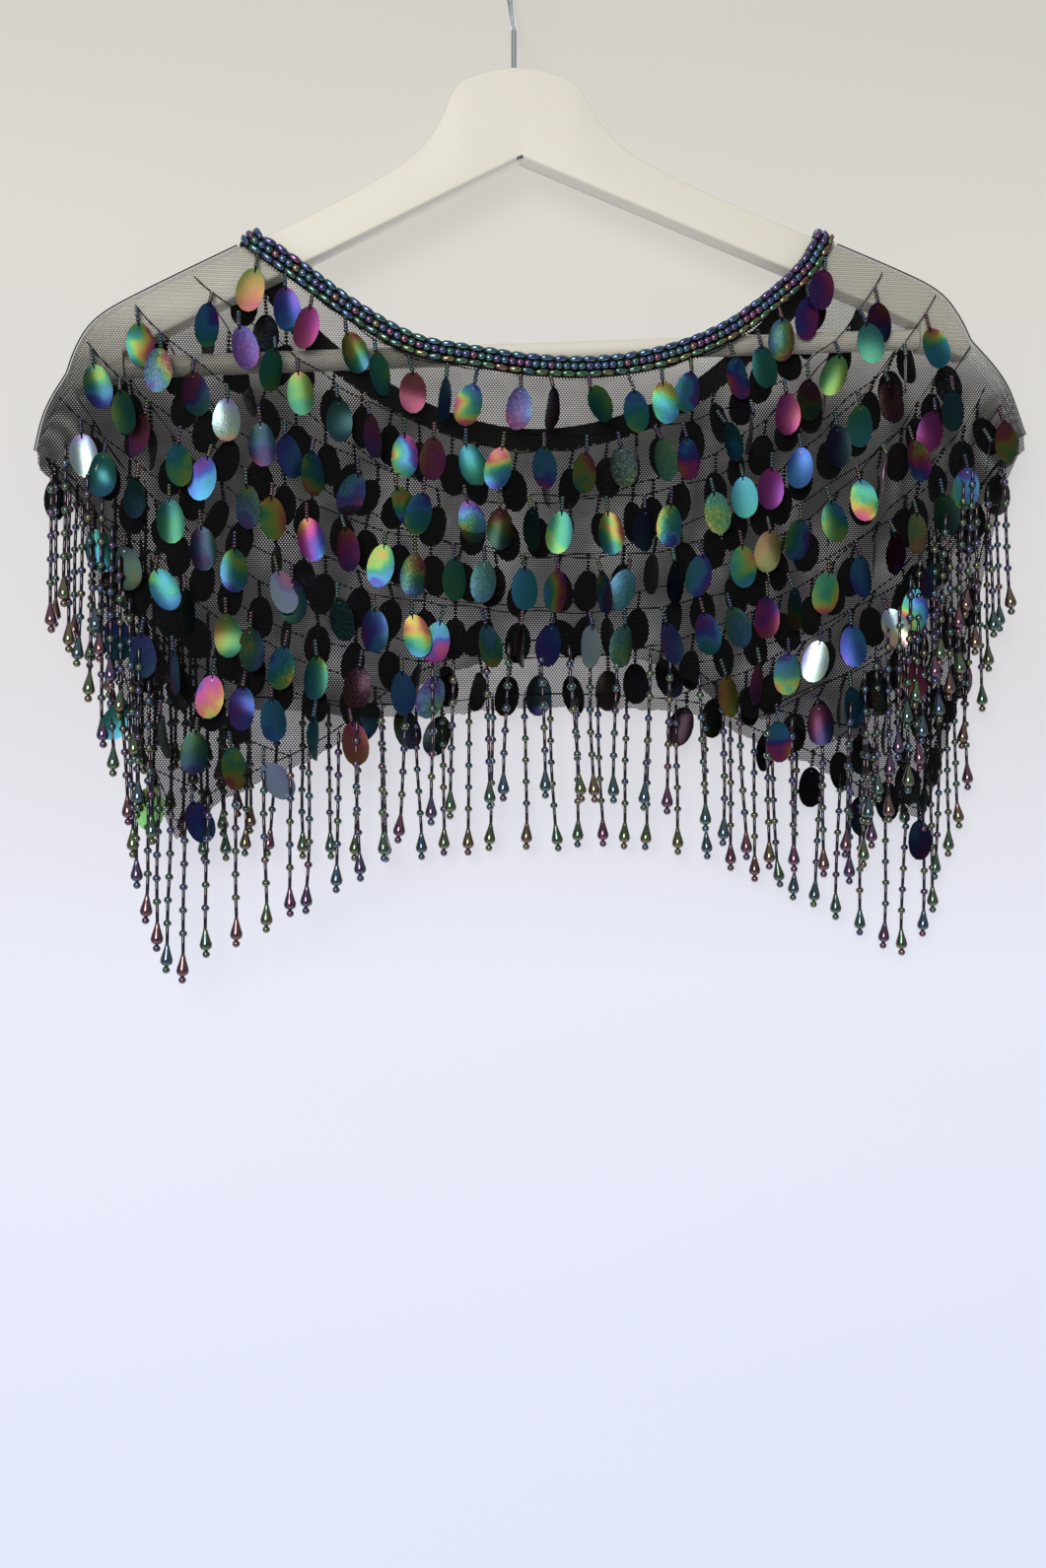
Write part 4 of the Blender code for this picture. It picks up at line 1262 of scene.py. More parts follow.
@dataclass
class NetPanel:
    """One layer of net, cut to a half of the cape.

    Attributes:
        column_step: Spacing of its upright grid lines.
        rows: Grid cells from the ridge's foot to the hem.
        turns: Steps of the quarter turn over the arms.
        snip: How far the scissors strayed from the cut edge.
        clear: Least gap from ridge to neck columns.
        seam_thread: Radius of the thread along the shoulders.
    """
    half: Half
    column_step: float = 0.0022
    rows: int = 96
    turns: int = 4
    snip: float = 0.0005
    clear: float = 0.0010
    seam_thread: float = 0.00034

    def columns(self) -> tuple[Array, Array, int, int]:
        """Where the grid's upright lines start.

        Returns:
            Their tops, the inward normals there, and how many lie on the left and on the right arm.
        """
        course = self.half.neck_course(self.column_step)
        start = TAPE_HALF + SEAM
        left_end = course.ridges[0, 0] - start * course.ways[0, 0]
        right_end = course.ridges[1, 0] + start * course.ways[1, 0]
        on_left = self.ridge_part(self.half.ridge_left, self.half.ridge_left[0, 0], left_end)
        on_right = self.ridge_part(self.half.ridge_right, right_end, self.half.ridge_right[-1, 0])
        neck, away = course.line[1:-1] + start * course.away[1:-1], course.away[1:-1]
        keep = (neck[:, 0] > on_left[-1, 0] + self.clear) & (neck[:, 0] < on_right[0, 0] - self.clear)
        tops = np.vstack((on_left, neck[keep], on_right))
        inward = np.vstack((right_of(tangents(on_left)), away[keep], right_of(tangents(on_right))))
        return tops, inward, len(on_left), len(on_right)

    def ridge_part(self, ridge: Array, low: float, high: float) -> Array:
        """Evenly spaced points of a ridge between two places."""
        inside = ridge[(ridge[:, 0] > low) & (ridge[:, 0] < high)]
        return even_line(np.vstack((at_x(ridge, low)[0], inside, at_x(ridge, high)[0])), self.column_step)

    def feet(self, tops: Array) -> Array:
        """Lower ends of the columns on the cut edge, which scissors left uneven by two sines of x."""
        outline = self.half.outline
        x = np.clip(tops[:, 0], outline[0, 0], outline[-1, 0])
        for corner in (self.half.edges[1][0], self.half.edges[1][-1]):
            x[np.argmin(abs(x - corner[0]))] = corner[0]
        uneven = self.snip * (np.sin(x * 410.0) + 0.6 * np.sin(x * 1130.0 + 1.0))
        return np.column_stack((x, np.minimum(self.half.hem(x) + uneven, tops[:, 1] - TIP_BLUNT)))

    def flat_grid(self, grid: Array, heights: Array) -> Shape:
        """A grid of the net laid flat: each point keeps its x, at the height of its run along the cloth."""
        flat = np.stack((grid[..., 0], heights), axis=-1).reshape(-1, 2) / CUT_UNIT + (0.5, 1.0)
        return Shape(grid.reshape(-1, 3), grid_quads(*grid.shape[:2]), flat=flat)

    def shape(self) -> Shape:
        """The sheet as grids: each column runs straight down from its top to its foot, below the ridge."""
        tops, inward, left, right = self.columns()
        middle = 0.5 * CLOTH
        caps = self.half.crossing(tops, inward, middle, self.turns)
        neck = slice(left, len(tops) - right)
        starts = caps[-1][:, [0, 2]]
        starts[neck] = tops[neck]
        share = np.linspace(0, 1, self.rows + 1)[:, None, None]
        run = starts[None] + (self.feet(starts) - starts)[None] * share
        body = self.half.point(run[..., 0], run[..., 1], middle)
        fall = np.linalg.norm(np.diff(body, axis=0), axis=2).cumsum(axis=0)
        shapes = [self.flat_grid(body, body[0, :, 2] - np.vstack((np.zeros(len(tops)), fall)))]
        for part in (slice(0, left), slice(len(tops) - right, len(tops))):
            cap = caps[:, part]
            climb = np.linalg.norm(np.diff(cap, axis=0), axis=2)[::-1].cumsum(axis=0)[::-1]
            shapes.append(self.flat_grid(cap, cap[-1, :, 2] + np.vstack((climb, np.zeros(cap.shape[1])))))
        sheet = Shape.joined(shapes)
        if self.half.side is Side.BACK:
            sheet.quads = sheet.quads[:, ::-1]
        return sheet

    def seam(self, finishes: Finishes) -> Object:
        """Thread that closes the shoulders along the front of their ridges, from each tip to the neck."""
        left, right = self.half.ridge_left, self.half.ridge_right
        shapes = []
        for ridge in (left[left[:, 0] < NECK_CROSS_LEFT - TAPE_HALF],
                      right[right[:, 0] > NECK_CROSS_RIGHT + TAPE_HALF]):
            line = even_line(ridge, 0.003)
            course = self.half.crossing(line, right_of(tangents(line)), STITCH_OUT, 2)[1]
            shapes.append(tube(course, self.seam_thread, 5))
        return Shape.joined(shapes).piece("shoulder_seams", finishes.thread, "net")

    def build(self, finishes: Finishes) -> Object:
        """Makes the net, which stands for the frame's plain wall."""
        label = self.half.side.label
        net = self.shape().piece(f"net_sheer_{label}", finishes.net, "net")
        merge(net, closed=False)
        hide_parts(f"net_{label}")
        return net


@dataclass
class NeckTape:
    """Woven tape that binds the neck, whip-stitched along its lower edge.

    Attributes:
        stitch_pitch: Distance between two stitches.
        stitch_lean: How far a stitch leans along the edge.
        flat_edge: Where the flat strip's middle lies in the UV map.
    """
    half: Half
    stitch_pitch: float = 0.0016
    stitch_length: float = 0.0021
    stitch_lean: float = 0.7
    flat_edge: float = 0.01

    def profile(self) -> Array:
        """Cross-section as offset and height pairs, with rounded long edges."""
        turn = np.linspace(-np.pi / 2, np.pi / 2, 4)
        middle = CLOTH / 2
        right = np.column_stack((TAPE_HALF - middle + middle * np.cos(turn), middle + middle * np.sin(turn)))
        left = np.column_stack((-TAPE_HALF + middle - middle * np.cos(turn), middle - middle * np.sin(turn)))
        return np.vstack((right, left))

    def build(self, finishes: Finishes) -> list[Object]:
        """Makes the tape and its stitches."""
        label = self.half.side.label
        profile = self.profile()
        rings = np.stack([self.half.neck_path(offset, height) for offset, height in profile], axis=1)
        run = lengths(rings[:, 0])
        flat = np.stack(np.meshgrid(run, profile[:, 0] + self.flat_edge, indexing="ij"), axis=-1)
        strip = skinned(rings, flat.reshape(-1, 2))
        tape = strip.piece(f"tape_woven_{label}", finishes.tape, "tape", CRISP)
        merge(tape)
        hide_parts(f"neck_tape_{label}")
        return [tape, self.stitches(finishes)]

    def stitches(self, finishes: Finishes) -> Object:
        """Small capsules over the lower edge, each along its across direction and some of its course."""
        capsule = lathe([(0.4 * THREAD, 0.5), (THREAD, 0.3), (THREAD, -0.3), (0.4 * THREAD, -0.5)], 5)
        capsule.verts[:, 2] *= self.stitch_length
        path = self.half.neck_path(TAPE_HALF + 0.0002, STITCH_OUT)
        outer = self.half.neck_path(TAPE_HALF + 0.0012, STITCH_OUT)
        at = np.arange(self.stitch_pitch, lengths(path)[-1], self.stitch_pitch)
        places = along(path, at)
        across = to_unit(along(outer, at / lengths(path)[-1] * lengths(outer)[-1]) - places)
        frames = frames_along(across + self.stitch_lean * tangents(places), ASKEW)
        name = f"neck_stitches_{self.half.side.label}"
        return capsule.copies(frames, places).piece(name, finishes.thread, "tape")


@dataclass
class NeckBeads:
    """Three rows of lustred beads along the tape.

    Attributes:
        lower: How much lower the rows sit on the tape.
        askew: How far single beads point away from the row.
        rows: Upper ovals, middle rounds and lower ovals.
    """
    half: Half
    seed: int
    lower: float = 0.0
    askew: float = 0.07
    rows: tuple[BeadRow, ...] = (
        BeadRow(-0.0036, 0.0066, 0.0003, 0.00185, (-0.32, -0.12, -0.40), 0.09, 0.60),
        BeadRow(0.0000, 0.0037, 0.0001, 0.00190, (0.55, 0.75, 0.62), 0.22, 0.90),
        BeadRow(0.0034, 0.0063, 0.0003, 0.00150, (-0.25, 0.10, 0.16), 0.10, 0.95),
    )

    def bead(self, row: BeadRow) -> Shape:
        """A bead along Z: radius r sqrt(1 - |1.8 h|^(1 + 2 plumpness)) at height h of its length."""
        heights = np.array((0.5, 0.42, 0.2, -0.2, -0.42, -0.5))
        swell = np.sqrt(1 - (0.9 * abs(2 * heights)) ** (1 + 2 * row.plumpness))
        return lathe(list(zip(row.radius * swell, heights * row.length)), 8)

    def build(self, finishes: Finishes) -> Object:
        """Makes all three rows as one piece that stands for the frame's bead band."""
        rng = np.random.default_rng(self.seed)
        shapes = []
        for row in self.rows:
            path = self.half.neck_path(row.offset + self.lower, CLOTH + SEAM + row.radius)
            total = lengths(path)[-1]
            count = round(total / (row.length + row.gap))
            at = (np.arange(count) + 0.5) * total / count
            places = along(path, at)
            course = to_unit(along(path, at + 0.0005) - along(path, at - 0.0005))
            frames = frames_along(course + rng.normal(0, self.askew, (count, 3)), ASKEW)
            tone = np.interp(at / total, (0.0, 0.4, 1.0), row.tones)
            tone = tone + row.spread * rng.standard_normal(count)
            shapes.append(self.bead(row).copies(frames, places, {"tone": tone}))
        label = self.half.side.label
        beads = Shape.joined(shapes).piece(f"neck_rows_{label}", finishes.neck_bead, "beads")
        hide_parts(f"neck_beads_{label}")
        return beads


@dataclass
class Paillettes:
    """Iridescent ovals that hang from bead stalks in rows round the neck.

    Attributes:
        wall: Thickness of its plastic.
        first_row: First row's distance from the neck.
        row_step: Distance between two rows.
        pitch: Distance between two ovals of a row.
        row_count: Number of rows, the lowest off the panel.
        edge_margin: Least height of a stalk above the hem.
        row_thread: Radius of the threads along the rows.
        stand_off: Least distance of an oval from the net.
        sway: How far stalks lean, and ovals on them again.
        twist: How far ovals turn round their stalks.
        nod: Mean and spread of how far their feet stand out.
        caught: Turn of the few that are caught askew.
        edge_on: Turn of the few that are seen edge on.
    """
    half: Half
    seed: int
    width: float = 0.0132
    height: float = 0.0210
    wall: float = 0.00025
    first_row: float = 0.0050
    row_step: float = 0.0290
    pitch: float = 0.0178
    stalk: float = 0.0078
    stalk_beads: int = 5
    row_count: int = 10
    edge_margin: float = 0.0060
    row_thread: float = 0.00029
    stand_off: float = 0.0012
    sway: float = math.radians(7)
    twist: float = math.radians(20)
    nod: tuple[float, float] = (math.radians(1), math.radians(4))
    caught: float = math.radians(26)
    edge_on: float = math.radians(66)

    def threads(self) -> list[Array]:
        """Sewing lines in the elevation, each at its own distance from the neck's middle line."""
        course = self.half.neck_course(0.003)
        run = lengths(course.line)
        rng = np.random.default_rng(self.seed)
        rows = []
        for number in range(self.row_count):
            phase = rng.uniform(0, 2 * np.pi)
            waver = 0.0011 * np.sin(run * 38.0 + phase) + 0.0007 * np.sin(run * 260.0 + 2 * phase)
            row = course.line + (self.first_row + number * self.row_step + waver)[:, None] * course.away
            rows.append(even_line(row, 0.003))
        return rows

    def inside(self, at: Array) -> NDArray[np.bool_]:
        """Which points lie on the panel, clear of its edges."""
        x, z = at.T
        within = (x > self.half.outline[0, 0] + 0.002) & (x < self.half.outline[-1, 0] - 0.002)
        return within & (z > self.half.hem(x) + self.edge_margin) & (z < self.half.ridge(x) - 0.0025)

    def anchors(self, rng: Random) -> Array:
        """Where the stalks are sewn on: even steps along each row, every second row half a step on."""
        found = []
        for number, row in enumerate(self.threads()):
            total = lengths(row)[-1]
            at = np.arange(self.pitch * (0.25 + 0.5 * (number % 2)), total, self.pitch)
            at = at + rng.normal(0, 0.0016, len(at))
            found.append(along(row, at))
        anchors = np.vstack(found)
        return anchors[self.inside(anchors)]

    def oval(self) -> tuple[Array, Shape]:
        """Square grid (u, v) bent to an ellipse, x = u sqrt(1 - v^2 / 2) and z = v sqrt(1 - u^2 / 2).

        Returns:
            The grid's local places, and the closed thin shape with two faces and a rim.
        """
        count = 6
        axis = np.sin(np.linspace(-np.pi / 2, np.pi / 2, count) * 0.92) / math.sin(0.92 * math.pi / 2)
        v, u = np.meshgrid(axis[::-1], axis, indexing="ij")
        x, z = u * np.sqrt(1 - v ** 2 / 2), v * np.sqrt(1 - u ** 2 / 2)
        local = np.stack((x, z, np.zeros_like(x)), axis=-1).reshape(-1, 3)
        taper = 1 - 0.07 * z
        outer = np.stack((x * taper * self.width / 2, np.zeros_like(x), (z - 1) * self.height / 2), axis=-1)
        outer = outer.reshape(-1, 3)
        front = grid_quads(count, count)
        size = count * count
        edge = np.concatenate((np.arange(count), np.arange(2 * count - 1, size, count),
                               np.arange(size - 2, size - count - 1, -1),
                               np.arange(size - 2 * count, 0, -count)))
        rim = np.column_stack((edge, np.roll(edge, -1), np.roll(edge, -1) + size, edge + size))
        verts = np.vstack((outer, outer + (0, self.wall, 0)))
        shape = Shape(verts, np.vstack((front, front[:, ::-1] + size, rim)))
        return np.vstack((local, local + (0, 0, 1))), shape

    def build(self, finishes: Finishes) -> list[Object]:
        """Makes the ovals, the stalks' beads and the threads."""
        rng = np.random.default_rng(self.seed + 1)
        anchors = self.anchors(rng)
        count = len(anchors)
        sway = rng.normal(0, self.sway, count)
        swing = sway + rng.normal(0, self.sway, count)
        loose = rng.random(count)
        swing = np.where(loose > 0.94, swing + rng.choice((-1, 1), count) * self.caught, swing)
        yaw = rng.normal(0, self.twist, count)
        yaw = np.where(loose < 0.10, rng.choice((-1, 1), count) * self.edge_on, yaw)
        pitch = rng.normal(*self.nod, count)
        stalk = self.stalk + rng.normal(0, 0.0007, count)
        foot = anchors + stalk[:, None] * np.column_stack((np.sin(sway), -np.cos(sway)))
        depths = [self.half.depth(foot[:, 0], foot[:, 1] - drop * self.height) for drop in (0, 0.5, 1)]
        clear = CLOTH + self.stand_off + 0.5 * self.width * abs(np.sin(yaw))
        clear = clear + rng.uniform(0, self.stand_off, count)
        reach = self.half.side.value * (np.max(depths, axis=0) + clear)
        tops = np.column_stack((foot[:, 0], reach, foot[:, 1]))
        roots = self.half.point(anchors[:, 0], anchors[:, 1], KNOT_OUT)
        about = yaw + (np.pi if self.half.side is Side.BACK else 0.0)
        frames = turned(about, 2) @ turned(pitch, 0) @ turned(-swing, 1)
        return [self.ovals(rng, frames, tops, finishes), self.beads(rng, roots, tops, finishes),
                self.sewing(frames, roots, tops, finishes)]

    def ovals(self, rng: Random, frames: Array, tops: Array, finishes: Finishes) -> Object:
        """The ovals, each bent by cup x^2 + bow z^2 + ripple sin(3.2 z + 1.4 x + phase) over its face."""
        local, shape = self.oval()
        count = len(tops)
        x, z = local[None, :, 0], local[None, :, 1]
        cup = rng.normal(0.0, 0.0009, count)[:, None]
        bow = rng.normal(0.0, 0.0008, count)[:, None]
        ripple = np.where(rng.random(count) < 0.25, 0.0004, 0.00006)[:, None]
        phase = rng.uniform(0, 6, count)[:, None]
        bend = cup * x ** 2 + bow * z ** 2 + ripple * np.sin(3.2 * z + 1.4 * x + phase)
        made = shape.copies(frames, tops, self.looks(rng, count))
        made.verts += (frames[:, None, :, 1] * bend[..., None]).reshape(-1, 3)
        # Painted glints: about one oval in eleven keeps more of its inner face's brightness, with less
        # painted shade.
        inner = np.where(rng.random(count) < 0.09, rng.uniform(0.35, 0.75, count), 1.0)
        shares = np.column_stack((np.ones(count), np.ones(count), inner))
        made.values["local"] = (local[None] * shares[:, None]).reshape(-1, 3)
        return made.piece(f"paillettes_{self.half.side.label}", finishes.paillette, "beads", CRISP)

    def looks(self, rng: Random, count: int) -> dict[str, Array]:
        """Tone, direction and slope of each oval's film, and its value, crinkle and greyness."""
        tones, shares = zip(*TONE_SHARES)
        tone = rng.choice(tones, count, p=shares) + rng.normal(0, 0.03, count)
        way = rng.normal(np.pi / 2, 0.7, count)
        slope = mixed(rng, rng.random(count) < 0.55, (0.14, 0.32), (0.03, 0.12))
        film = np.column_stack((tone, way, slope * rng.choice((-1, 1), count)))
        lit = rng.random(count)
        # Painted light in the value: about one oval in six is painted dark as shade, and a few in a hundred
        # whitish as glints.
        painted_glint = lit > 0.965
        value = np.where(painted_glint, 1.3, mixed(rng, lit < 0.18, (0.04, 0.12), (0.23, 0.46)))
        crinkle = mixed(rng, rng.random(count) < 0.22, (0.5, 1.0), (0.0, 0.15))
        grey = np.where(painted_glint, 0.6, np.clip(0.03 + 0.36 * crinkle * rng.random(count), 0, 0.7))
        return {"film": film, "look": np.column_stack((value, crinkle, grey))}

    def beads(self, rng: Random, roots: Array, tops: Array, finishes: Finishes) -> Object:
        """Seed beads at even steps along each stalk."""
        unit = lathe([(0.00045, 0.00066), (0.00110, 0.00034), (0.00110, -0.00034), (0.00045, -0.00066)], 7)
        number = self.stalk_beads
        total, line = number * len(roots), tops - roots
        share = (np.arange(number) + 0.5) / number
        places = (roots[:, None] + line[:, None] * share[None, :, None]).reshape(-1, 3)
        axes = np.repeat(line, number, axis=0) + rng.normal(0, 0.0006, (total, 3))
        tone = np.repeat(rng.uniform(0, 1, len(roots)), number) + rng.normal(0, 0.12, total)
        made = unit.copies(frames_along(axes), places, {"tone": tone})
        return made.piece(f"stalk_beads_{self.half.side.label}", finishes.seed_bead, "beads")

    def sewing(self, frames: Array, roots: Array, tops: Array, finishes: Finishes) -> Object:
        """Threads along the rows, down each stalk and over each oval's top to its hole."""
        shapes = []
        for row in self.threads():
            change = np.diff(np.concatenate(([0], self.inside(row).astype(int), [0])))
            for start, end in zip(np.flatnonzero(change == 1), np.flatnonzero(change == -1)):
                if end - start > 3:
                    x, z = row[start:end].T
                    shapes.append(tube(self.half.point(x, z, THREAD_OUT), self.row_thread, 4))
        shapes.append(rods(roots, tops, THREAD))
        loop = lathe([(0.00040, 0.0006), (0.00046, -0.0002), (0.00032, -0.0016), (0.00018, -0.0026)], 5)
        loop.verts[:, 1] -= 0.00034
        shapes.append(loop.copies(frames, tops))
        return Shape.joined(shapes).piece(f"sewing_threads_{self.half.side.label}", finishes.thread, "tape")


@dataclass
class Fringe:
    """Beaded strands along the side and hem edges, or along the sides on a line further in.

    Attributes:
        name: What the pieces' names start with.
        inside: Distance of a line further in from the sides, 0 for the fringe itself.
        links: Number of bugle and bead pairs above the last bugle.
        bead: Diameter of a round bead.
        tip: Diameter of the end bead.
        lean: How far a strand leans, and each link against the last.
        hem_inset: Distance of the sewing line above the hem.
        side_inset: Its distance from the side edges.
        step: Distance along it between two strands.
        least_x: Least distance between them from left to right.
        level: Share of x in its direction below which strands hang further in.
        lowest: Height above which they do.
        highest: Height below which they do.
        inner_out: How much further out they hang.
        strip_out: Outer side of the solid fringe's strip.
        strand_gap: Distance of a strand outside that.
    """
    half: Half
    seed: int
    name: str = "fringe"
    inside: float = 0.0
    links: int = 5
    bugle: float = 0.0080
    bugle_radius: float = 0.00082
    bead: float = 0.0040
    drop: float = 0.0106
    tip: float = 0.0037
    lean: float = math.radians(1.3)
    hem_inset: float = 0.0065
    side_inset: float = 0.0030
    sewing_thread: float = 0.00035
    step: float = 0.0135
    least_x: float = 0.0042
    level: float = 0.72
    lowest: float = -0.375
    highest: float = -0.250
    inner_out: float = 0.0030
    strip_out: float = CLOTH + 0.0012
    strand_gap: float = 0.0008
    drop_tones: tuple[float, ...] = (0.06, 0.12, 0.18, 0.30, 0.42, 0.60, 0.88, 0.98)
    round_tones: tuple[float, ...] = (0.02, 0.10, 0.16, 0.58, 0.62, 0.76, 0.88)

    def course(self) -> tuple[Array, Array]:
        """The sewing line in the elevation, and the distances along it where strands hang."""
        line = even_line(self.half.outline, 0.004)
        way = tangents(line)
        inset = self.side_inset + self.inside + (self.hem_inset - self.side_inset) * abs(way[:, :1])
        line = even_line(line - inset * right_of(way), 0.012)
        line = even_line(smooth_line(line, 0.003), 0.003)
        run, level = lengths(line), abs(tangents(line)[:, 0])
        places, at = [], self.step / 4
        while at < run[-1] - self.step / 5:
            places.append(at)
            at += max(self.step, self.least_x / max(float(np.interp(at, run, level)), 0.05))
        places = np.array(places)
        if self.inside:
            steep = np.interp(places, run, level) < self.level
            high = np.interp(places, run, line[:, 1])
            places = places[steep & (high > self.lowest) & (high < self.highest)]
        return line, places

    def build(self, finishes: Finishes) -> list[Object]:
        """Makes the bugles, the round beads, the drops and the threads."""
        rng = np.random.default_rng(self.seed)
        line, at = self.course()
        count = len(at)
        x, z = along(line, at + rng.uniform(-0.0022, 0.0022, count)).T
        z = z - rng.uniform(0.0, 0.0035, count)
        heights = z[:, None] - np.linspace(0, 0.018, 7)
        reach = np.max(self.half.depth(x[:, None], heights), axis=1) + self.strip_out + self.strand_gap
        reach = reach + (self.inner_out if self.inside else 0.0)
        root = np.column_stack((x, self.half.side.value * (reach + rng.uniform(0, 0.0010, count)), z))
        knots, ways = self.chain(rng, root)
        return [self.bugles(rng, knots, ways, finishes), self.rounds(rng, knots, ways, finishes),
                self.drops(rng, knots, ways, finishes), self.threads(line, knots, finishes)]

    def called(self, kind: str) -> str:
        """The name of one of its pieces."""
        return f"{self.name}_{kind}_{self.half.side.label}"

    def strung(self, unit: Shape, places: Array, ways: Array, tone: Array) -> Shape:
        """A bead for each place, its Z axis against the way that the thread runs there."""
        return unit.copies(frames_along(-ways.reshape(-1, 3)), places.reshape(-1, 3), {"tone": tone})

    @property
    def pair(self) -> float:
        """Length of a bugle with the bead below it."""
        return self.bugle + 0.72 * self.bead

    def chain(self, rng: Random, root: Array) -> tuple[Array, Array]:
        """Joints of every strand and the directions between them.

        A strand leans a little, and each link a little more or less than the one above it.

        Args:
            rng: Source of the random leans.
            root: Top of each strand.

        Returns:
            Strands by joints by three, and unit directions below each joint, the drop's last.
        """
        count = len(root)
        turn = rng.normal(0, self.lean, (count, self.links + 2))
        turn[:, -1] *= 2.5
        lean = np.cumsum(turn, axis=1) * np.linspace(1.0, 0.6, self.links + 2)
        out = np.broadcast_to(self.half.side.value * rng.uniform(0, 0.015, (count, 1)), lean.shape)
        ways = np.stack((np.sin(lean), out, -np.cos(lean)), axis=-1)
        steps = ways[:, :-1] * np.array([self.pair] * self.links + [self.bugle])[None, :, None]
        hung = np.concatenate((np.zeros((count, 1, 3)), np.cumsum(steps, axis=1)), axis=1)
        return root[:, None] + hung, ways

    def bugles(self, rng: Random, knots: Array, ways: Array, finishes: Finishes) -> Object:
        """A tube below every joint but the last, its cut ends a little narrower."""
        half, radius = self.bugle / 2, self.bugle_radius
        unit = lathe([(0.8 * radius, half), (radius, 0.94 * half), (radius, -0.94 * half),
                      (0.8 * radius, -half)], 7)
        places = knots[:, :-1] + half * ways[:, :-1]
        tone = rng.normal(0.62, 0.13, places.size // 3)
        made = self.strung(unit, places, ways[:, :-1], tone)
        return made.piece(self.called("bugles"), finishes.bugle, "fringe", CRISP)

    def rounds(self, rng: Random, knots: Array, ways: Array, finishes: Finishes) -> Object:
        """Round beads between the bugles."""
        unit = ball(self.bead / 2, 0.46 * self.bead, 1.25, 7)
        places = knots[:, 1:-1] - 0.36 * self.bead * ways[:, :-2]
        count = places.size // 3
        tone = rng.choice(self.round_tones, count) + rng.normal(0, 0.05, count)
        made = self.strung(unit, places, ways[:, :-2], tone)
        return made.piece(self.called("rounds"), finishes.drop, "fringe")

    def drops(self, rng: Random, knots: Array, ways: Array, finishes: Finishes) -> Object:
        """The drop, narrow above and full below, and the bead under it."""
        profile = ((0.00085, 0.0), (0.00110, 0.12), (0.00175, 0.34), (0.00250, 0.56), (0.00298, 0.74),
                   (0.00272, 0.88), (0.00160, 0.98), (0.00070, 1.0))
        unit = lathe([(radius, -share * self.drop) for radius, share in profile], 11)
        way, start = ways[:, -1], knots[:, -1]
        tone = rng.choice(self.drop_tones, len(start)) + rng.normal(0, 0.04, len(start))
        drops = self.strung(unit, start, way, tone)
        tips = self.strung(ball(self.tip / 2, self.tip / 2, 1.3, 6),
                           start + way * (self.drop + 0.47 * self.tip), way,
                           tone + rng.normal(0, 0.15, len(start)))
        made = Shape.joined((drops, tips)).piece(self.called("drops"), finishes.drop, "fringe")
        if not self.inside:
            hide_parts(f"fringe_{self.half.side.label}")
        return made

    def threads(self, line: Array, knots: Array, finishes: Finishes) -> Object:
        """The sewing line, and the thread through each strand with its tie to that line."""
        sewn = tube(self.half.point(line[:, 0], line[:, 1], THREAD_OUT), self.sewing_thread, 5)
        tied = self.half.point(knots[:, 0, 0], knots[:, 0, 2] + 0.0030, KNOT_OUT)
        course = np.concatenate((tied[:, None], knots), axis=1)
        strands = rods(course[:, :-1].reshape(-1, 3), course[:, 1:].reshape(-1, 3), THREAD)
        made = strands if self.inside else Shape.joined((sewn, strands))
        return made.piece(self.called("threads"), finishes.thread, "tape")


# The hanger

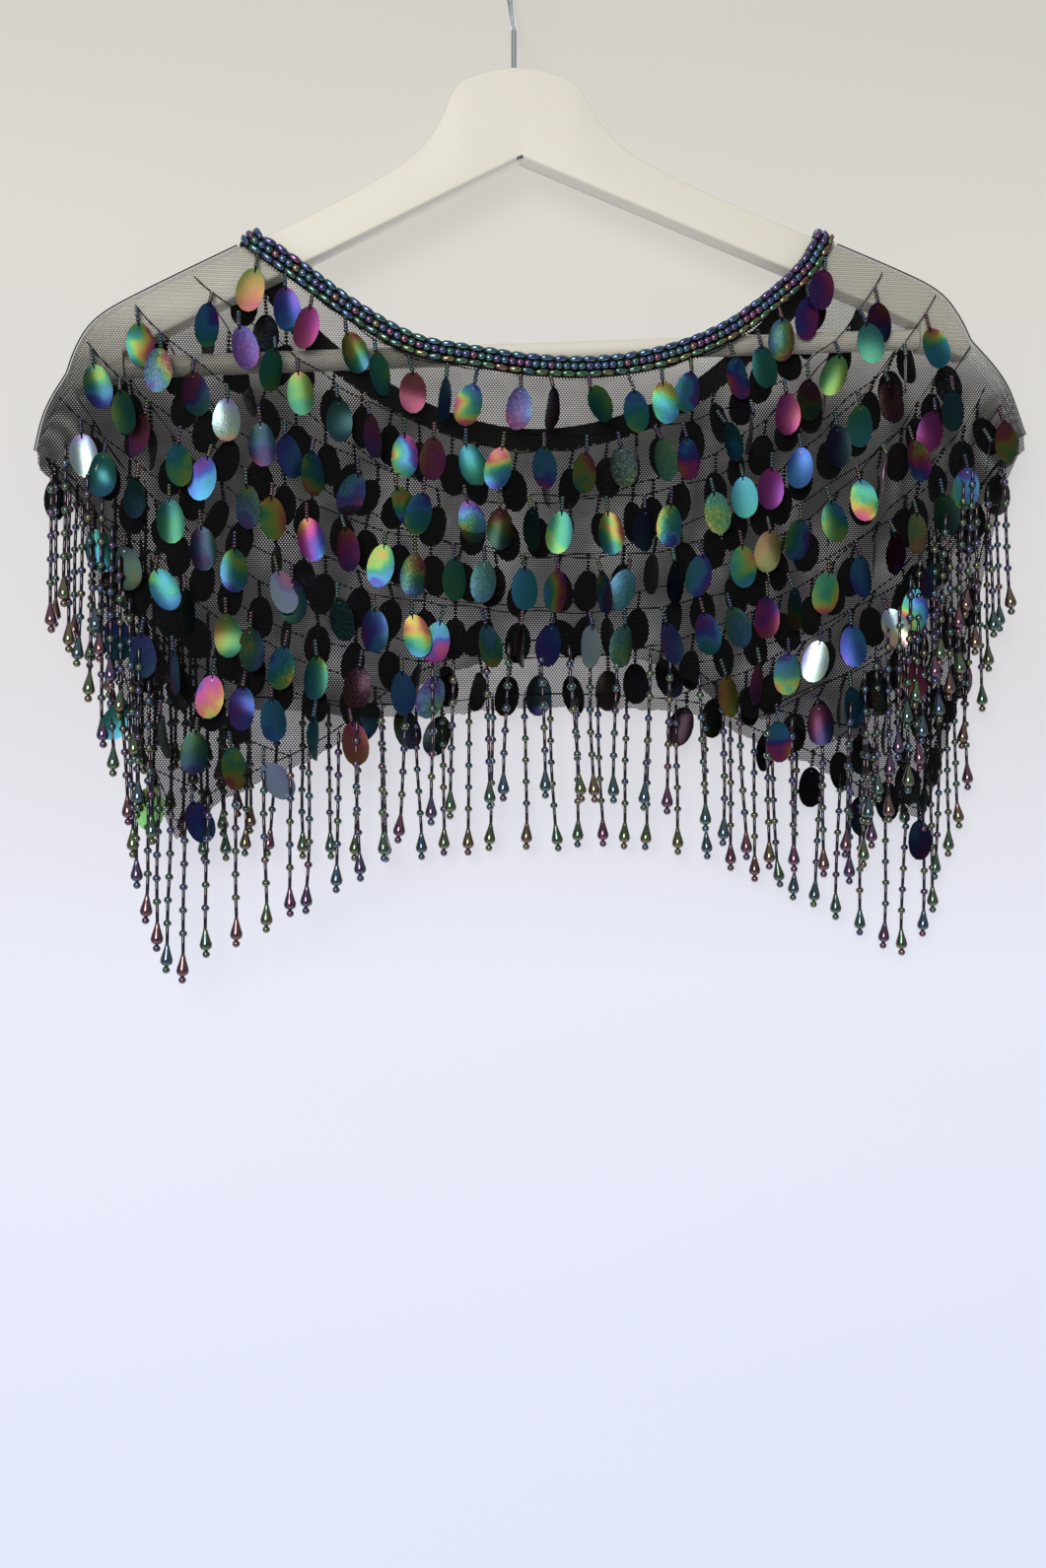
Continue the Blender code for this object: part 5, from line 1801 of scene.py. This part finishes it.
@dataclass
class Hanger:
    """Flat painted wooden body, round bar and plated wire hook.

    Attributes:
        edge: Radius of the wood's softened edges.
        apex_drop: Underside's peak below the rail seat.
        arm_slope: Fall of the arms' underside.
        socket_x: Upright face that the bar butts against.
        socket_floor: Foot of that face.
        bar_drop: Bar's axis below the rail seat.
        crown: Inside radius of the hook.
        crown_start: Angle where the crown's arc starts.
        crown_end: Where it ends.
        stem_bend: Radius of the bend between the stem and the crown.
        hook_turn: Turn of the hook on its stem.
        shift_foot: Height where the wire starts back to the middle.
        butt: Distance from the socket's face to the arm's thick end.
    """
    edge: float = 0.0014
    apex_drop: float = 0.1083
    arm_slope: float = 0.4525
    socket_x: float = 0.1970
    socket_floor: float = 0.2088
    bar_radius: float = 0.0051
    bar_drop: float = 0.2030
    wire: float = 0.0014
    crown: float = 0.0200
    crown_start: float = math.radians(250)
    crown_end: float = math.radians(-32)
    stem_bend: float = 0.0035
    hook_turn: float = math.radians(6.5)
    shift_foot: float = -0.0450
    butt: float = 0.0001

    def sections(self) -> tuple[Array, Array]:
        """Upper and lower points of the right half's upright sections, in the hanger's own frame."""
        upper = smooth_line((*WOOD_TOP, ARM_TIP), 0.002)
        inner = np.linspace(0, self.socket_x, 90)
        top_inner = np.column_stack((inner, np.interp(inner, upper[:, 0], upper[:, 1])))
        low_inner = np.column_stack((inner, -self.apex_drop - self.arm_slope * inner))
        butt = self.socket_x + self.butt
        start = (butt, np.interp(self.socket_x, upper[:, 0], upper[:, 1]))
        top_end = even_line(np.vstack((start, upper[upper[:, 0] > butt])), 0.002)
        foot = smooth_line(((butt, -self.socket_floor), *ARM_END_LOW), 0.002)
        low_end = along(foot, np.linspace(0, lengths(foot)[-1], len(top_end)))
        return np.vstack((top_inner, top_end)), np.vstack((low_inner, low_end))

    def wood(self, finishes: Finishes) -> Object:
        """The body: an upright rounded rectangle carried from one arm's end to the other's."""
        top, low = self.sections()
        top = np.vstack((top[:0:-1] * (-1, 1), top))
        low = np.vstack((low[:0:-1] * (-1, 1), low))
        top, low = tilted(top), tilted(low)
        way = top - low
        height = np.linalg.norm(way, axis=1)
        way = way / height[:, None]
        turn = np.linspace(0, np.pi / 2, 5)
        inset = self.edge * (1 - np.sin(turn))
        proud = WOOD_HALF - self.edge * (1 - np.cos(turn))
        rows = []
        for face, from_top in ((-1, False), (-1, True), (1, True), (1, False)):
            order = slice(None) if from_top is (face < 0) else slice(None, None, -1)
            for y, less in zip(face * proud[order], inset[order]):
                base = top - way * less if from_top else low + way * less
                rows.append(np.column_stack((base[:, 0], np.full(len(base), y), base[:, 1])))
        shape = skinned(np.stack(rows, axis=1))
        wood = shape.piece("wood_body", finishes.paint, "hanger_wood", crisp=34.0)
        merge(wood)
        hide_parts("hanger_body")
        return wood

    def bar(self, finishes: Finishes) -> Object:
        """The round bar between the sockets."""
        ends = np.column_stack((np.linspace(-1, 1, 40) * (self.socket_x - GAP), np.full(40, -self.bar_drop)))
        x, z = tilted(ends).T
        bar = tube(np.column_stack((x, np.zeros(40), z)), self.bar_radius, 32)
        made = bar.piece("wood_bar", finishes.paint, "hanger_wood", CRISP)
        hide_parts("hanger_bar")
        return made

    def hook_path(self) -> Array:
        """Centre line of the wire: an upright stem, a sharp bend and the crown's arc.

        Above the tilted wood the stem stands upright, and the wire comes back over the middle of the
        crown by its top.
        """
        radius = self.crown + self.wire
        centre = self.wire - radius
        start = np.array([radius * math.cos(self.crown_start), centre + radius * math.sin(self.crown_start)])
        course = np.array([math.sin(self.crown_start), -math.cos(self.crown_start)])
        turn = math.acos(course[1])
        bend = start[1] - course[1] * start[0] / course[0] - self.stem_bend * math.tan(turn / 2)
        foot = WOOD_TOP[0].z - 0.004
        stem = np.column_stack((np.zeros(12), np.linspace(foot, bend, 12)))
        angle = np.linspace(0, turn, 9)[1:]
        corner = np.column_stack((-self.stem_bend * (1 - np.cos(angle)),
                                  bend + self.stem_bend * np.sin(angle)))
        angle = np.linspace(self.crown_start, self.crown_end, 72)
        arc = np.column_stack((radius * np.cos(angle), centre + radius * np.sin(angle)))
        forward, z = np.vstack((stem, corner, arc)).T
        upright = math.tan(TILT) * np.maximum(z - WOOD_TOP[0].z, 0.0)
        centred = smoothstep((z - self.shift_foot) / -self.shift_foot)
        shift = np.where(forward > 0.0, 0.0, upright * (1 - centred))
        x, z = tilted(np.column_stack((shift - forward * math.sin(self.hook_turn), z))).T
        return np.column_stack((x, -forward * math.cos(self.hook_turn), z))

    def hook(self, finishes: Finishes) -> Object:
        """The wire hook, its ends closed flat."""
        wire = tube(self.hook_path(), self.wire, 20, ACROSS)
        made = wire.piece("wire_hook", finishes.wire, "hanger_wire", CRISP)
        merge(made)
        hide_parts("hanger_hook")
        return made

    def build(self, finishes: Finishes) -> list[Object]:
        """Makes the three pieces."""
        return [self.wood(finishes), self.bar(finishes), self.hook(finishes)]


# The cape and its surroundings

@dataclass
class Cape:
    """Both halves of the cape with all that is sewn on them.

    Attributes:
        cut_size: Flat width and length of a panel's net; not used.
        spacing: Changes to the paillettes' spacing on each side.
    """
    halves: tuple[Half, ...] = field(default_factory=lambda: (
        Half(Side.FRONT, FRONT_NECK, FRONT_EDGES, FRONT_FOLDS, FRONT_CREASES),
        Half(Side.BACK, BACK_NECK, BACK_EDGES, BACK_FOLDS, BACK_CREASES)))
    cut_size: tuple[float, float] = (0.492, 0.306)
    cut_area: float = 0.086
    spacing: dict[Side, dict[str, float]] = field(default_factory=lambda: {
        Side.FRONT: {}, Side.BACK: {"row_step": 0.0262, "pitch": 0.0162}})

    def build(self, finishes: Finishes) -> None:
        """Makes each half with all that is sewn on it."""
        for number, half in enumerate(self.halves):
            net = NetPanel(half).build(finishes)
            trim = NeckTape(half).build(finishes)
            trim.append(NeckBeads(half, 11 + number, 0.0010 * number).build(finishes))
            trim += Paillettes(half, 23 + 7 * number, **self.spacing[half.side]).build(finishes)
            for name, seed, inside in STRAND_LINES[half.side]:
                trim += Fringe(half, seed, name, inside).build(finishes)
            if half.side is Side.FRONT:
                trim.append(NetPanel(half).seam(finishes))


@dataclass
class Studio:
    """Pale wall and floor, soft lights and the camera.

    Attributes:
        eye: Camera's place.
        turn: Camera's turn to the right, in degrees.
        lens: Focal length, in millimetres.
        sensor: Longer side of the picture, in millimetres.
        wall_y: Wall's distance behind the hanger's middle plane.
        wall_glow: Share of its light that it glows with, painted light that has no shadow.
        wall_light_tints: Painted light on it from warm to cool, at shares of tint_fall.
        tint_fall: Height over which the painted light drifts so.
    """
    eye: Triple = (-0.0825, -0.7450, -0.4148)
    turn: float = 7.0
    lens: float = 35.0
    sensor: float = 36.0
    wall_y: float = 0.0300
    wall_glow: float = 0.745
    wall_light_tints: Stops = (
        (0.02, colour(212, 209, 201)), (0.18, colour(222, 219, 212)), (0.47, colour(227, 225, 229)),
        (0.66, colour(236, 239, 253)), (1.0, colour(231, 236, 255)))
    tint_fall: float = 0.78
    floor_z: float = -1.30
    aim: Triple = (0.02, 0.0, -0.32)
    lamps: tuple[Lamp, ...] = (
        Lamp("window", (-0.58, -1.72, 0.05), 0.85, 22.5, (1.0, 0.985, 0.96)),
        Lamp("rear_fill", (0.6, 1.6, 0.4), 1.60, 9.0, (1.0, 0.99, 0.98)))

    def camera(self) -> None:
        """The camera, level and turned towards the hanger."""
        data = bpy.data.cameras.new("camera")
        data.lens, data.sensor_width, data.sensor_fit = self.lens, self.sensor, "AUTO"
        data.clip_start, data.clip_end = 0.01, 30.0
        camera = bpy.data.objects.new("camera", data)
        camera.location = self.eye
        camera.rotation_euler = (math.pi / 2, 0.0, -math.radians(self.turn))
        bpy.context.scene.collection.objects.link(camera)
        bpy.context.scene.camera = camera

    def plane(self, name: str, corners: Sequence[Sequence[float]], material: Material) -> Object:
        """A flat stage piece that only the camera sees."""
        mesh = bpy.data.meshes.new(name)
        mesh.from_pydata([tuple(corner) for corner in corners], [], [(0, 1, 2, 3)])
        mesh.materials.append(material)
        made = bpy.data.objects.new(name, mesh)
        bpy.context.scene.collection.objects.link(made)
        made.visible_diffuse = made.visible_glossy = made.visible_shadow = False
        return made

    def pale(self, name: str, tints: Stops) -> Material:
        """Matt paint, clear from behind, that glows and drifts through its tints down the wall: painted
        light.
        """
        material, graph, shader = new_material(name)
        place = graph.place()
        tint = graph.ramp(graph.math("DIVIDE", graph.parts(place)[2], -self.tint_fall), tints)
        graph.fill(shader, Base_Color=graph.mix(self.wall_glow, tint, (0.0, 0.0, 0.0, 1.0)),
                   Emission_Color=tint, Emission_Strength=self.wall_glow, Roughness=0.9,
                   Normal=graph.bump(graph.noise(place, 700.0, 3.0), 0.12, 0.0004), Specular_IOR_Level=0.2)
        clear = graph.add("ShaderNodeBsdfTransparent")
        either = graph.add("ShaderNodeMixShader")
        graph.feed(either.inputs[0], graph.add("ShaderNodeNewGeometry").outputs["Backfacing"])
        graph.feed(either.inputs[1], shader.outputs[0])
        graph.feed(either.inputs[2], clear.outputs[0])
        graph.feed(material.node_tree.nodes["Material Output"].inputs[0], either.outputs[0])
        return material

    def light(self, lamp: Lamp) -> None:
        """Hangs a lamp so that it faces the aim."""
        data = bpy.data.lights.new(lamp.name, "AREA")
        data.size, data.energy, data.color = lamp.size, lamp.power, lamp.tint
        made = bpy.data.objects.new(lamp.name, data)
        made.location = lamp.place
        away = np.array(lamp.place) - np.array(self.aim)
        flat = math.hypot(away[0], away[1])
        made.rotation_euler = (math.atan2(flat, away[2]), 0.0, math.atan2(away[0], -away[1]))
        bpy.context.scene.collection.objects.link(made)

    def world(self) -> None:
        """Pale surroundings, dimmer to the sides and where the room lies behind the camera."""
        world = bpy.data.worlds.new("room")
        world.use_nodes = True
        graph = Graph(world.node_tree)
        way = graph.add("ShaderNodeTexCoord").outputs["Generated"]
        share = graph.math("MULTIPLY_ADD", graph.parts(way)[2], 0.5, 0.5)
        tint = graph.ramp(share, ((0.0, (1.72, 1.72, 1.76, 1)), (0.5, (0.95, 0.96, 1.0, 1)),
                                  (1.0, (1.0, 0.985, 0.96, 1))))
        room = graph.measure("DOT_PRODUCT", way, (0.10, -0.98, -0.12))
        dim = graph.ramp(room, ((0.55, (1, 1, 1, 1)), (0.95, (0.34, 0.34, 0.36, 1))), "EASE")
        sideways = graph.math("ABSOLUTE", graph.parts(way)[0])
        sides = graph.ramp(sideways, ((0.55, (1, 1, 1, 1)), (0.92, (0.40, 0.40, 0.42, 1))), "EASE")
        light = graph.vector("MULTIPLY", graph.vector("MULTIPLY", tint, sides), dim)
        graph.fill(world.node_tree.nodes["Background"], Color=light, Strength=0.52)
        bpy.context.scene.world = world

    def build(self) -> None:
        """Makes the surroundings round the part."""
        self.camera()
        self.world()
        y, low, high, side, near = self.wall_y, self.floor_z, 1.2, 2.0, -3.0
        # The wall's glow and its warm-to-cool tints are painted light.
        wall = self.pale("wall_painted_light", self.wall_light_tints)
        self.plane("wall", ((-side, y, low), (side, y, low), (side, y, high), (-side, y, high)), wall)
        grey = colour(226, 226, 230)
        ground = self.pale("floor_paint", ((0.0, grey), (1.0, grey)))
        self.plane("floor", ((-side, near, low), (side, near, low), (side, y, low), (-side, y, low)), ground)
        for lamp in self.lamps:
            self.light(lamp)
        bpy.context.scene.view_settings.view_transform = "Standard"


def main() -> None:
    """Builds the studio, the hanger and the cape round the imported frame."""
    logging.basicConfig(level=logging.INFO, format="%(message)s")
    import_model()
    Studio().build()
    finishes = Finishes()
    Hanger().build(finishes)
    Cape().build(finishes)


if __name__ == "__main__":
    main()
